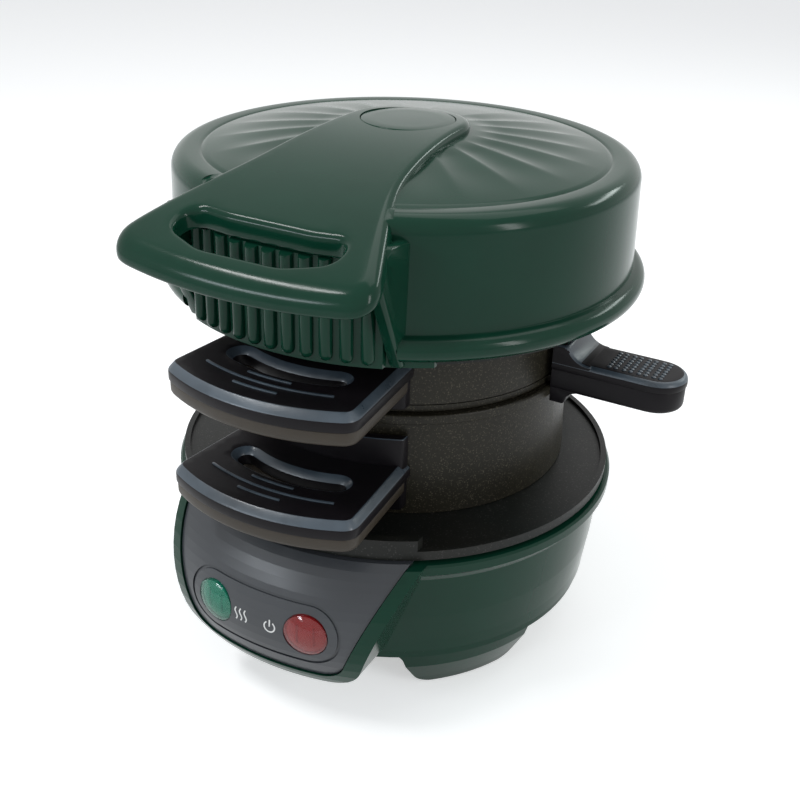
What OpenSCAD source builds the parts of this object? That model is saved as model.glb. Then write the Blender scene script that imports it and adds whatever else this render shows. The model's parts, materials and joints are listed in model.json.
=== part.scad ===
// Electric burger press: a heated base, two stacked cooking rings with a plate that swings out
// between them, and a heated lid, all hinged on one pin at the rear.
// Front is -Y, right is +X, up is +Z. Lengths are in millimetres.
// The pieces are laid out about the base's own axis and then moved so that the origin is on the
// table, below the middle of the whole object.

/* [Base] */
// Outer radius of the base's top rim
base_r = 72; // [69:0.5:80]
// Height of the base's top rim above the table
rim_z = 56; // [54:0.5:60]
// Height of the bowl's lower edge above the table
bowl_z = 18; // [16:0.5:20]
// Wall of the base housing
shell_t = 2.4; // [1.8:0.1:3]
// Radius of the feet on the table
foot_r = 57.5; // [56:0.5:59]
// Angle that each foot spans
foot_deg = 34; // [26:1:40]

/* [Control panel] */
// Reach of the nose in front of the base's axis
nose_r = 83.2; // [82:0.1:88]
// Height of the nose's fullest point
nose_z = 34; // [32:0.5:36]
// Radius of the nose's rounded face, seen from the side
nose_round = 30.9; // [29:0.1:34]
// Half width of the panel at its top edge
panel_top_w = 39.5; // [37:0.5:42]
// Half width of the panel at its bottom edge
panel_low_w = 24.6; // [22:0.2:28]
// Radius of the indicator lenses
lens_r = 6.75; // [5.5:0.25:7.5]
// Half the distance between the indicator lenses
lens_x = 16.1; // [14:0.1:18]
// Height of the indicator lenses
lens_z = 36; // [34:0.5:38]

/* [Cooking rings] */
// Bore radius of the two cooking rings
ring_bore_r = 50.4; // [46:0.2:51]
// Wall of the cooking rings
ring_t = 2.2; // [1.6:0.1:2.6]
// Height of the lower ring
low_ring_h = 33.6; // [32:0.2:36]
// Height of the upper ring
up_ring_h = 23.5; // [22:0.5:26]
// Distance of the rings' axis behind the base's axis
ring_y = 5.2; // [4:0.2:6]
// Thickness of the cooking plate
cook_t = 1.9; // [1.4:0.1:2.2]

/* [Ring handles] */
// Reach of the ring handles in front of the base's axis
grip_y = 86.4; // [82:0.5:90]
// Half width of the ring handles at the front
grip_w = 30.6; // [28:0.2:33]
// Thickness of the ring handles
grip_t = 9.8; // [8.5:0.1:11]

/* [Side handle] */
// Distance of the side handle's tip from the rings' axis
side_reach = 92.6; // [88:0.2:98]
// Half width of the side handle
side_w = 9; // [8:0.2:10]

/* [Lid] */
// Radius of the lid's wall at its lower end
lid_r = 70.4; // [69:0.1:74]
// Radius of the lid's bottom flange
flange_r = 74.3; // [73.5:0.1:77]
// Height of the lid's wall and shoulder above its lower edge
lid_h = 37.9; // [35:0.1:42]
// Wall of the lid
lid_t = 2.2; // [1.8:0.1:2.8]
// Rise of the dome above the shoulder
dome_h = 5.9; // [4:0.1:6.5]
// Reach of the lid's handle in front of the base's axis
lid_grip_y = 91.6; // [88:0.2:96]
// Half width of the lid's handle at the front
lid_grip_w = 40.3; // [38:0.1:42]
// Radius of the round badge on top
badge_r = 14.1; // [11:0.1:15]

/* [Hinge] */
// Distance of the hinge pin behind the base's axis
hinge_y = 80; // [79:0.5:84]
// Height of the hinge pin above the base's rim
hinge_up = 10; // [9.5:0.5:12]
// Radius of the hinge pin
pin_r = 2.5; // [2:0.1:3]

/* [Hidden] */
$fn = 96;

// Clearances and shared small sizes
cut = 0.5;
seat_gap = 0.3;
side_gap = 0.2;
run_gap = 0.06;
thread_gap = 0.02;
arc_steps = 8;
fine_fn = 32;

// Colours
green = [0.03, 0.14, 0.09];
slate = [0.10, 0.12, 0.14];
black = [0.06, 0.06, 0.065];
coated = [0.13, 0.12, 0.11];
steel = [0.72, 0.72, 0.74];
alloy = [0.62, 0.62, 0.62];
lens_green = [0.05, 0.50, 0.25];
lens_red = [0.60, 0.05, 0.05];

// Base bowl
low_in = 5;
low_r = base_r - low_in;
waist_in = 3.8;
waist_r = base_r - waist_in;
neck_in = 2.6;
neck_r = base_r - neck_in;
edge_in = 8.5;
edge_r = base_r - edge_in;
rim_h = 3.6;
rim_flare = 2.4;
rim_round = 0.6;
low_step = 0.4;
low_rise = 7;
waist_rise = 17;
neck_drop = 6.5;
floor_t = 2.4;
boss_margin = 0.8;
arch_top_gap = 0.5;
ledge_in = 5.4;

// Feet and pads
foot_bottom_z = 0.8;
foot_top_r = edge_r;
foot_t = 6.2;
foot_az = 53;
foot_round = 4;
arch_round = 5;
pad_h = 1.6;
pad_w = 4.4;
pad_margin_deg = 5;

// Bottom cover
cover_t = 2.2;
cover_gap = 1.8;
cover_r = foot_top_r - foot_t - cover_gap;
cover_lap = 10.5;
floor_in_r = cover_r - cover_lap;
vent_w = 2.4;
vent_l = 26;
vent_pitch = 6;
vent_count = 5;
cover_screw_az = [30, 150, 210, 330];

// Screws
screw_r = 1.5;
screw_head_r = 2.8;
screw_head_h = 1.6;
screw_slot_w = 0.7;
screw_slot_d = 0.8;
boss_r = 4.2;
boss_h = 5;
cover_screw_r = floor_in_r + boss_margin + boss_r;
screw_end_gap = 1;

// Nose
border = 2.6;
panel_drop = 0.7;
panel_t = 2;
panel_back = -panel_drop - panel_t + side_gap / 2;
nose_arc_steps = 20;
ledge_t = 2;
ledge_w = 2.5;
panel_gap = 0.25;
panel_low_z = 20.4;
panel_over_rim = 3;
panel_top_z = rim_z + panel_over_rim;
panel_round = 9;
border_round = 1.2;
nose_back_in = 22;
nose_back_y = base_r - nose_back_in;
nose_core_in = 15;
nose_back_r = base_r - nose_core_in;
nose_core_r = nose_r - nose_round;
groove_w = 0.9;
groove_d = 0.45;
groove_half_h = 9.3;

// Indicator lamps
lens_az = atan(lens_x / sqrt(nose_r * nose_r - lens_x * lens_x));
lens_drop = 1.9;
lens_seat = nose_r - lens_drop - panel_drop / 2;
lens_lip = 1.1;
lens_dome = 2.4;
lens_stem_in = 1;
lens_stem_r = lens_r - lens_stem_in;
lens_wall = 1;
lens_depth = 9;
lamp_r = 2.4;
lamp_l = 8;
socket_l = 4;

// Lower heating plate
plate_in = 1.6;
plate_r = base_r - plate_in;
nub_h = 1.2;
nub_w = 4;
nub_t = 1.4;
nub_in = 0.4;
nub_count = 10;
plate_t = 1.9;
plate_lip_w = 1.8;
plate_lip_h = 1.1;
plate_z = rim_z + nub_h;
plate_top = plate_z + plate_t;
guard_w = 39.4;
guard_h = 3.6;
guard_t = 2.5;
plate_boss_in = 12.5;
plate_boss_r = base_r - plate_boss_in;
plate_boss_h = 7.2;
lug_t = 3.5;
lug_r = 5;
lug_out = 4.2;
lug_az = [90, 210, 330];
plate_skirt_in = 8.5;
skirt_r = base_r - plate_skirt_in;
skirt_t = 2;
skirt_h = 5.2;

// Heating elements, thermostats and shields
element_in = 14.5;
element_r = plate_boss_r - element_in;
tube_r = 2.9;
element_deg = 300;
terminal_deg = 3;
terminal_r = 1.2;
terminal_l = 7;
channel_t = 1.4;
channel_h = 4;
channel_gap = 0.1;
stat_r = 8.5;
stat_h = 9;
stat_cap_r = 6;
stat_cap_h = 1.2;
fuse_r = 2.2;
fuse_l = 14;
fuse_y = 20;
shield_t = 0.8;
shield_in = 22;
shield_r = base_r - shield_in;
shield_z = plate_z - plate_boss_h - lug_t - shield_t;
shield_tab_w = 9;
shield_hub_gap = 1.4;

// Hinge tower and knuckles, outwards from the middle plane
hinge_z = rim_z + hinge_up;
knuckle_gap = 0.6;
mid_arm_w = 7;
ring_arm_w = 6.4;
ear_w = 6.4;
lid_arm_w = 7;
ring_arm_x = mid_arm_w + knuckle_gap;
ear_x = ring_arm_x + ring_arm_w + knuckle_gap;
tower_w = ear_x + ear_w;
lid_arm_x = tower_w + knuckle_gap;
pin_over = 2.2;
pin_half = lid_arm_x + lid_arm_w + pin_over;
knuckle_r = 6.3;
ear_r = 7.6;
tower_back = 7;
tower_round = 6;
tower_wall = 2.6;
tower_in = 2.5;
tower_rise = 1;
tower_lean = 2;
ear_in = 0.2;
ear_slope = 0.6;
clip_t = 1.2;
clip_r = 4.6;

// Cord inlet
gland_r = 6.5;
gland_lip_r = 8.6;
gland_lip_t = 2;
gland_bore_r = 3.6;
gland_z = 33;
gland_l = 9;
gland_hole_over = 5;
block_l = 24;
block_w = 9;
block_h = 8;
block_hole_r = 1.4;
block_in = 19;
block_y = edge_r - block_in;
wire_z = bowl_z + floor_t + block_h / 2;
wire_r = 1.1;
wire_sides = 8;
wire_pitch = 3;
wire_rise = 6;

// Lower ring
low_z = plate_top + seat_gap;
low_top = low_z + low_ring_h;
ring_r = ring_bore_r + ring_t;
ring_draft = 1.2;
ring_lip_h = 3;
ring_lip_t = 0.7;
low_rivet_rise = 16;
low_rivet_z = low_z + low_rivet_rise;

// Cooking plate
cook_z = low_top + seat_gap;
cook_top = cook_z + cook_t;
cook_r = ring_r;
cook_lip_t = 1.2;
cook_dish = 0.7;

// Upper ring
up_z = cook_top + seat_gap;
up_top = up_z + up_ring_h;
up_rivet_rise = 10;
up_rivet_z = up_z + up_rivet_rise;

// Hinge brackets of the rings
bracket_t = 2;
bracket_deg = 48;
low_bracket_half = 9;
up_bracket_low = 6;
up_bracket_high = 8;
rivet_r = 1.5;
rivet_head_r = 2.8;
rivet_head_h = 1;
rivet_az = 19.5;

// Pivot of the cooking plate, at the rear right of the rings
pivot_az = 35;
pivot_out = 8.2;
pivot_reach = ring_r + pivot_out;
pivot_x = pivot_reach * sin(pivot_az);
pivot_y = ring_y + pivot_reach * cos(pivot_az);
pivot_r = 2.5;
pivot_head_r = 4.2;
pivot_head_h = 1.6;
ear_plate_r = 6.2;
pivot_boss_h = 11;

// Ring handles
grip_round = 62;
grip_corner = 4;
grip_root_w = 26.8;
grip_root_y = 44;
grip_bevel = 3.4;
grip_bevel_h = 2.8;
grip_split_share = 0.46;
low_grip_rise = 8.5;
up_grip_rise = 5.1;
wall_t = 3;
wall_gap = 0.35;
low_wall_rise = 3;
low_wall_h = 24;
low_wall_z = low_z + low_wall_rise;
low_wall_top = low_wall_z + low_wall_h;
up_wall_rise = 0.4;
up_wall_gap = 3;
up_wall_z = up_z + up_wall_rise;
up_wall_top = up_top - up_wall_gap;
low_grip_z = low_z + low_grip_rise;
up_grip_z = up_z + up_grip_rise;
half_inset = 0.4;
grip_slot_w = 20;
grip_slot_y0 = 62.6;
grip_slot_y1 = 69.2;
line_r = 0.35;
line_h = 0.35;
line_long = 20.5;
line_short = 7;
line_y = [72.4, 75.9, 79.2];
tab_w = 12;
tab_t = 1.6;
tab_y = 60.4;
tab_root_y = 44;
grip_screw_x = 8;
grip_screw_y = 57;

// Side handle of the cooking plate
side_rise = 9.2;
side_drop = 1.1;
side_cap_h = 3.4;
side_top = cook_z + side_rise;
side_low = cook_z - side_drop;
side_split = side_top - side_cap_h;
side_gap_r = 3.2;
side_root = ring_r + side_gap_r;
side_l = side_reach - side_root;
side_over = 2;
side_inset = 0.3;
side_bevel = 1.6;
scoop_h = 4.8;
scoop_share = 0.218;
scoop_l = side_l * scoop_share;
scoop_t = 2.2;
scoop_drop = 0.6;
hook_t = 3.2;
hook_h = 4.2;
side_tab_w = 6;
side_tab_share = 0.545;
side_tab_l = side_l * side_tab_share;
side_screw_share = 0.38;
side_screw_at = side_l * side_screw_share;
bump_h = 0.35;
bump_cols = 8;
bump_rows = 7;
bump_start_share = 0.4;
bump_start = side_l * bump_start_share;
bump_pitch_share = 0.0535;
bump_pitch = side_l * bump_pitch_share;
bump_pair_share = 0.28;
bump_r_share = 0.37;
bump_r = bump_pitch * bump_r_share;
bump_row_share = 0.195;
bump_row_pitch = side_w * bump_row_share;

// Lid
lid_y = 1.5;
lid_gap = 0.4;
lid_z = up_top + lid_gap;
flange_start_out = 0.2;
flange_z0_r = lid_r + flange_start_out;
flange_low = 1.6;
flange_mid = 4;
flange_high = 5.6;
flange_end = 6.8;
flange_in_low = 0.8;
flange_in_high = 0.7;
flange_step = 0.1;
lid_top_in = 0.8;
lid_top_r = lid_r - lid_top_in;
shoulder_r = 7;
crease_in = 1.9;
crease_r = lid_top_r - shoulder_r - crease_in;
shoulder_z = lid_z + lid_h;
dome_steps = 10;
apex_over = 2.2;
apex_z = shoulder_z + dome_h + apex_over;
spine_r = 220;
spine_t = 3.2;
spine_steps = 14;
lid_grip_t = 6.4;
lid_edge_r0 = 4;
lid_edge_r1 = 2.2;
lid_grip_in = 0.8;
lid_grip_low = 0.5;
panel_end_w = 18.5;
spine_over = 2;
spine_back = panel_end_w + spine_over;
panel_mid_w = 22.5;
panel_mid_y = 42;
panel_neck_w = 29;
panel_neck_y = 60;
lid_grip_corner = 6;
lid_grip_arc = 180;
lid_slot_w = 24.3;
lid_slot_y0 = 70.4;
lid_slot_y1 = 83.9;
lid_slot_round = 4.6;
lid_slot_bow = 4.6;
lid_slot_mid = 0.4;
cheek_w = 30.2;
cheek_t = 4;
cheek_out = cheek_w + cheek_t;
cheek_reach = 75.5;
cheek_foot = 61.5;
cheek_top = 66;
cheek_end = 51;
cheek_over = 1;
hollow_drop = 4;
skirt_w = 40.7;
skirt_t0 = 1.2;
front_skirt = 2.2;
post_r = 4;
post_in = 9.4;
post_reach = lid_r - post_in;
post_hole_l = 12;
post_screw_l = 9;
post_az = [90, 210, 330];
pleat_count = 7;
pleat_in = 22;
pleat_out = 58;
pleat_r0 = 4;
pleat_r1 = 15;
pleat_depth = 0.6;
pleat_first_az = -38;
pleat_step_az = 15;
badge_t = 1.2;
badge_drop = 0.4;

// Ribbed front of the lid
grille_r = lid_r + seat_gap;
grille_t = 1.6;
rib_r = 1.9;
rib_pitch = 5.3;
rib_count = 11;
grille_low = 0.4;
grille_over = 4;
grille_back = 5;
grille_gap = 0.6;
grille_w = cheek_w - side_gap;

// Upper heating plate
up_plate_gap = 1.6;
up_plate_r = lid_r - up_plate_gap;
up_plate_z = up_top + seat_gap;
up_plate_t = 2;
up_plate_lip = 1.9;
up_plate_lip_w = 2.3;
pillar_r = 2.5;
pillar_in = 19.4;
pillar_reach = lid_r - pillar_in;
pillar_h = 11;
up_element_in = 6;
up_element_r = pillar_reach - up_element_in;

// Lid hinge bracket
bracket_out = 11.1;
bracket_y = lid_y + lid_r + bracket_out;
bracket_in = 12;
bracket_lean = 3;
bracket_foot_round = 2;
bracket_over = 1;
bracket_cut_low = 6;
bracket_head_in = 4.5;
bracket_screw_reach = 3;
bracket_screw_x = 14;
bracket_low = 8;
bracket_high = 22;
bracket_round = 5;
bracket_gap = 0.2;
bracket_screw_z = 14;

// Middle of the whole object, which the origin stands under
tower_y = hinge_y + tower_back;
x_high = side_reach;
x_low = -flange_r;
y_low = -lid_grip_y;
y_high = tower_y + gland_lip_t;
mid_x = (x_high + x_low) / 2;
mid_y = (y_low + y_high) / 2;

// Points on an arc about a centre, from one angle to another
function arc(c, r, a0, a1, n = arc_steps) =
  [for (i = [0:n]) let (a = a0 + (a1 - a0) * i / n) [c.x + r * cos(a), c.y + r * sin(a)]];

function unit(v) = v / norm(v);

// An outline whose corners are rounded, each by its own radius
function rounded(pts, rs) = [
  for (i = [0:len(pts) - 1])
    let (
      p = pts[i],
      u = unit(pts[(i + len(pts) - 1) % len(pts)] - p),
      v = unit(pts[(i + 1) % len(pts)] - p),
      half = acos(u * v) / 2,
      d = rs[i] / tan(half),
      c = p + unit(u + v) * rs[i] / sin(half),
      t0 = p + u * d - c,
      t1 = p + v * d - c,
      a0 = atan2(t0.y, t0.x),
      turn = (atan2(t1.y, t1.x) - a0 + 540) % 360 - 180
    )
    each rs[i] > 0 ? arc(c, rs[i], a0, a0 + turn) : [p]
];

// Mirror image of a half outline about the middle plane, joined to it
function both_sides(half) =
  concat(half, [for (i = [len(half) - 1:-1:0]) if (half[i].x != 0) [-half[i].x, half[i].y]]);

module in_frame() translate([-mid_x, -mid_y, 0]) children();

// Prisms seen from the front, drawn in X and Z, and seen from the side, drawn in Y and Z
module front_prism(y0, y1)
  translate([0, y1, 0]) rotate([90, 0, 0]) linear_extrude(y1 - y0) children();
module side_prism(x0, x1)
  translate([x0, 0, 0]) rotate([90, 0, 90]) linear_extrude(x1 - x0) children();

module ring_band(r0, r1, z0, z1)
  rotate_extrude() translate([r0, z0]) square([r1 - r0, z1 - z0]);
module ring_sector(r0, r1, z0, z1, a0, a1)
  rotate([0, 0, a0]) rotate_extrude(angle = a1 - a0) translate([r0, z0]) square([r1 - r0, z1 - z0]);
module at_az(az, r) rotate([0, 0, az]) translate([r, 0, 0]) children();
module bar_x(r, x0, x1) translate([x0, 0, 0]) rotate([0, 90, 0]) cylinder(r = r, h = x1 - x0);

// A screw that points up, with the underside of its head at z = 0
module screw(l)
  difference() {
    union() {
      translate([0, 0, -screw_head_h]) cylinder(r = screw_head_r, h = screw_head_h);
      cylinder(r = screw_r - thread_gap, h = l);
    }
    for (a = [0, 90])
      rotate([0, 0, a])
        translate([-screw_head_r * 0.7, -screw_slot_w / 2, -screw_head_h - cut])
          cube([screw_head_r * 1.4, screw_slot_w, screw_slot_d + cut]);
  }

// A wire along a few points, whose straight runs overlap a little at each bend
module wire(pts)
  for (i = [0:len(pts) - 2]) {
    d = pts[i + 1] - pts[i];
    translate(pts[i])
      rotate([0, acos(d.z / norm(d)), atan2(d.y, d.x)])
        cylinder(r = wire_r, h = norm(d) + (i < len(pts) - 2 ? wire_r / 2 : 0), $fn = wire_sides);
  }

// BASE

bowl_side = [
  [edge_r, bowl_z],
  [low_r - low_step, bowl_z + low_rise * 0.4],
  [low_r, bowl_z + low_rise],
  [waist_r, bowl_z + waist_rise],
  [neck_r, rim_z - neck_drop],
  [neck_r + (base_r - neck_r) * 0.4, rim_z - rim_h - rim_flare * 0.4],
  [base_r, rim_z - rim_h + rim_flare * 0.2],
  [base_r, rim_z - rim_round],
  [base_r - rim_round, rim_z]
];

module bowl_wall()
  rotate_extrude()
    polygon(concat(bowl_side, [for (i = [len(bowl_side) - 1:-1:0]) bowl_side[i] - [shell_t, 0]]));

module bowl_floor() ring_band(floor_in_r, low_r - shell_t / 2, bowl_z, bowl_z + floor_t);

// Ledge inside the rim, which carries the plate's nubs
module rim_ledge() ring_band(base_r - ledge_in, base_r - rim_round, rim_z - shell_t, rim_z);

// Solid skirt that the arches between the feet are cut from
module foot_skirt()
  rotate_extrude()
    polygon([
      [foot_top_r - foot_t, bowl_z + floor_t / 2],
      [foot_top_r - shell_t, bowl_z + floor_t / 2],
      [foot_top_r, bowl_z],
      [foot_r + (foot_top_r - foot_r) * 0.75, bowl_z * 0.6],
      [foot_r + (foot_top_r - foot_r) * 0.2, bowl_z * 0.2],
      [foot_r, foot_bottom_z],
      [foot_r - foot_t, foot_bottom_z]
    ]);

function arch_outline(gap_deg) =
  let (w = foot_top_r * sin(gap_deg / 2))
  rounded(
    [
      [-w - foot_round * 2, -foot_bottom_z],
      [-w - foot_round * 2, foot_bottom_z],
      [-w + foot_round / 2, foot_bottom_z],
      [-w + foot_round / 2 + arch_round / 2, bowl_z - arch_top_gap],
      [w - foot_round / 2 - arch_round / 2, bowl_z - arch_top_gap],
      [w - foot_round / 2, foot_bottom_z],
      [w + foot_round * 2, foot_bottom_z],
      [w + foot_round * 2, -foot_bottom_z]
    ],
    [0, 0, foot_round, arch_round, arch_round, foot_round, 0, 0]
  );

front_gap_deg = 2 * foot_az - foot_deg;
side_gap_deg = 180 - 2 * foot_az - foot_deg;

module arches()
  for (k = [0:3])
    rotate([0, 0, k * 90])
      translate([0, -foot_r * 0.6, 0])
        rotate([90, 0, 0])
          linear_extrude(foot_top_r)
            polygon(arch_outline(k % 2 == 0 ? front_gap_deg : side_gap_deg));

// The nose's rounded face is part of a ring about the base's axis
module nose_bulk(grow, top = rim_z, back = nose_back_r)
  rotate_extrude()
    polygon(concat(
      [[back, nose_z - nose_round - cut]],
      arc(
        [nose_core_r, nose_z], nose_round + grow,
        -90, asin((top - nose_z) / (nose_round + grow)), nose_arc_steps
      ),
      [[back, top]]
    ));

function panel_outline(grow) =
  rounded(
    [
      [panel_top_w + grow, panel_top_z],
      [panel_low_w + grow, panel_low_z - grow],
      [-panel_low_w - grow, panel_low_z - grow],
      [-panel_top_w - grow, panel_top_z]
    ],
    [0, panel_round + grow, panel_round + grow, 0]
  );

module nose_cut(grow, y1) front_prism(-nose_r - cut, -y1) polygon(panel_outline(grow));

module nose_shell()
  difference() {
    intersection() {
      nose_bulk(0);
      nose_cut(border + border_round, nose_back_y);
    }
    intersection() {
      nose_bulk(-panel_drop - panel_t - ledge_t);
      nose_cut(border + border_round - shell_t, nose_back_y - cut);
      translate([-base_r, -nose_r, 0]) cube([2 * base_r, nose_r, rim_z - shell_t]);
    }
    translate([0, 0, bowl_z + floor_t]) cylinder(r = base_r - ledge_in, h = rim_z - bowl_z);
    panel_pocket();
  }

// Recess for the control panel, with a ledge behind it
module panel_pocket() {
  difference() {
    nose_cut(0, nose_back_y);
    nose_bulk(-panel_drop - panel_t, panel_top_z);
  }
  intersection() {
    nose_cut(-ledge_w, nose_back_y);
    translate([-base_r, -nose_r, 0]) cube([2 * base_r, nose_r, rim_z - shell_t]);
  }
}

module plate_lugs()
  for (a = lug_az)
    at_az(a, 0)
      translate([0, 0, plate_z - plate_boss_h - lug_t])
        linear_extrude(lug_t) {
          translate([plate_boss_r, 0]) circle(r = lug_r);
          translate([plate_boss_r, -lug_r]) square([base_r - lug_out - plate_boss_r, 2 * lug_r]);
        }

module rim_nubs()
  for (i = [0:nub_count - 1])
    at_az(i * 360 / nub_count + 180 / nub_count, base_r - ledge_in + nub_in)
      translate([0, -nub_w / 2, rim_z - cut]) cube([nub_t, nub_w, nub_h + cut]);

// Side view of the hinge tower, drawn in by the thickness of its wall
function tower_side(inset) = [
  [edge_r - tower_in - inset / 4, bowl_z + tower_rise + inset],
  [tower_y - tower_lean - inset, bowl_z + tower_rise + inset],
  [tower_y - inset, rim_z - inset],
  [base_r - ledge_in - inset / 4, rim_z - inset],
  [base_r - ledge_in - inset / 4, rim_z - neck_drop],
  [edge_r - tower_in - inset / 4, rim_z - 2 * neck_drop]
];

module hinge_tower() {
  difference() {
    side_prism(-tower_w, tower_w)
      polygon(rounded(tower_side(0), [0, tower_round, tower_lean, 0, 0, 0]));
    side_prism(-tower_w + tower_wall, tower_w - tower_wall)
      polygon(rounded(tower_side(tower_wall), [0, tower_round - tower_wall, 0, 0, 0, 0]));
  }
  for (s = [-1, 1])
    difference() {
      union() {
        translate([0, hinge_y, hinge_z]) bar_x(ear_r, s > 0 ? ear_x : -tower_w, s > 0 ? tower_w : -ear_x);
        side_prism(s > 0 ? ear_x : -tower_w, s > 0 ? tower_w : -ear_x)
          polygon([
            [hinge_y - ear_r, rim_z - cut],
            [tower_y - ear_in, rim_z - cut],
            [hinge_y + ear_r - ear_slope, hinge_z],
            [hinge_y - ear_r, hinge_z]
          ]);
      }
      translate([0, hinge_y, hinge_z]) bar_x(pin_r + thread_gap, -pin_half, pin_half);
    }
}

module base_housing()
  color(green) in_frame()
    difference() {
      union() {
        difference() {
          union() {
            bowl_wall();
            bowl_floor();
            rim_ledge();
            foot_skirt();
          }
          arches();
          // way for the lamp wires into the nose
          translate([-panel_low_w, -base_r, bowl_z + low_rise])
            cube([2 * panel_low_w, base_r / 2, rim_z - neck_drop - bowl_z - low_rise - rim_h]);
          // way for the mains wires into the tower
          translate([-tower_w + tower_wall, base_r / 2, bowl_z + low_rise])
            cube([2 * (tower_w - tower_wall), base_r / 2, rim_z - neck_drop - bowl_z - low_rise - rim_h]);
          panel_pocket();
        }
        nose_shell();
        plate_lugs();
        rim_nubs();
        hinge_tower();
        for (a = cover_screw_az)
          at_az(a, cover_screw_r)
            translate([0, 0, bowl_z + floor_t / 2]) cylinder(r = boss_r, h = boss_h - floor_t / 2);
      }
      for (a = lug_az)
        at_az(a, plate_boss_r)
          translate([0, 0, plate_z - plate_boss_h - lug_t - cut])
            cylinder(r = screw_r + side_gap, h = lug_t + 2 * cut);
      for (a = cover_screw_az)
        at_az(a, cover_screw_r) translate([0, 0, bowl_z - cut]) cylinder(r = screw_r, h = boss_h);
      translate([0, tower_y, gland_z]) rotate([90, 0, 0])
        translate([0, 0, -cut]) cylinder(r = gland_r + thread_gap, h = tower_wall + gland_hole_over);
      pad_recesses(side_gap, 0);
    }

module pad_recesses(gap, up)
  for (s = [-1, 1], t = [-1, 1])
    ring_sector(
      foot_r - foot_t / 2 - pad_w / 2 - gap,
      foot_r - foot_t / 2 + pad_w / 2 + gap,
      up, pad_h,
      t * 90 + s * foot_az * t - foot_deg / 2 + pad_margin_deg - gap,
      t * 90 + s * foot_az * t + foot_deg / 2 - pad_margin_deg + gap
    );

module foot_pads() color(black) in_frame() pad_recesses(0, 0);

module base_bottom_cover()
  color(green) in_frame()
    difference() {
      translate([0, 0, bowl_z - cover_t]) cylinder(r = cover_r, h = cover_t);
      for (i = [0:vent_count - 1], s = [-1, 1])
        translate([
          (i - (vent_count - 1) / 2) * vent_pitch - vent_w / 2,
          s > 0 ? vent_w : -vent_w - vent_l,
          bowl_z - cover_t - cut
        ])
          cube([vent_w, vent_l, cover_t + 2 * cut]);
      for (a = cover_screw_az)
        at_az(a, cover_screw_r)
          translate([0, 0, bowl_z - cover_t - cut]) cylinder(r = screw_r + side_gap, h = cover_t + 2 * cut);
    }

module base_cover_screws()
  color(steel) in_frame()
    for (a = cover_screw_az)
      at_az(a, cover_screw_r) translate([0, 0, bowl_z - cover_t]) screw(cover_t + boss_h - screw_end_gap);

module at_lens(s)
  rotate([0, 0, s * lens_az]) translate([0, -lens_seat, lens_z]) rotate([90, 0, 0]) children();

module stadium(grow) {
  for (s = [-1, 1]) translate([s * lens_x, lens_z]) circle(r = groove_half_h + grow);
  translate([-lens_x, lens_z - groove_half_h - grow]) square([2 * lens_x, 2 * (groove_half_h + grow)]);
}

// Part of the nose's rounded wall, between two depths and up to an angle at each
module nose_band(g0, g1, a0 = 55, a1 = 55)
  rotate_extrude()
    polygon(concat(
      arc([nose_core_r, nose_z], nose_round + g1, -60, a1, nose_arc_steps),
      arc([nose_core_r, nose_z], nose_round + g0, a0, -60, nose_arc_steps)
    ));

// Angle at which a depth inside the nose reaches the panel's top, just under the plate
function panel_arc(g) = asin((rim_z + nub_h - side_gap - nose_z) / (nose_round + g));

module control_panel()
  color(slate) in_frame()
    difference() {
      intersection() {
        nose_band(panel_back, -panel_drop, panel_arc(panel_back), panel_arc(-panel_drop));
        nose_cut(-panel_gap, nose_back_y);
      }
      intersection() {
        front_prism(-nose_r - cut, -nose_back_y)
          difference() {
            stadium(groove_w);
            stadium(0);
          }
        nose_band(-panel_drop - groove_d, cut);
      }
      for (s = [-1, 1])
        at_lens(s) {
          cylinder(r = lens_r + side_gap, h = nose_round);
          translate([0, 0, -lens_depth]) cylinder(r = lens_stem_r + side_gap, h = nose_round);
        }
    }

// A domed lens with a hollow stem behind it
module lens()
  difference() {
    union() {
      intersection() {
        cylinder(r = lens_r, h = nose_round);
        ball = (lens_r * lens_r + lens_dome * lens_dome) / (2 * lens_dome);
        translate([0, 0, lens_lip + lens_dome - ball]) sphere(r = ball);
      }
      cylinder(r = lens_r, h = lens_lip);
      translate([0, 0, -lens_depth]) cylinder(r = lens_stem_r, h = lens_depth + cut);
    }
    translate([0, 0, -lens_depth - cut]) cylinder(r = lens_stem_r - lens_wall, h = lens_depth + lens_lip);
  }

module preheat_lens() color(lens_green) in_frame() at_lens(-1) lens();
module power_lens() color(lens_red) in_frame() at_lens(1) lens();

module indicator_lamps()
  color("orange") in_frame()
    for (s = [-1, 1])
      at_lens(s)
        translate([0, 0, -lens_depth - socket_l / 2]) {
          cylinder(r = lamp_r, h = lamp_l);
          translate([0, 0, lamp_l]) sphere(r = lamp_r);
        }

module lamp_sockets()
  color("ivory") in_frame()
    for (s = [-1, 1])
      at_lens(s)
        difference() {
          translate([0, 0, -lens_depth - socket_l]) cylinder(r = lens_stem_r, h = socket_l);
          translate([0, 0, -lens_depth - socket_l / 2])
            cylinder(r = lamp_r + thread_gap, h = socket_l);
        }

module element_channels(reach, z0, z1)
  for (r = [reach - tube_r - channel_gap - channel_t, reach + tube_r + channel_gap])
    ring_band(r, r + channel_t, z0, z1);

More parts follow.
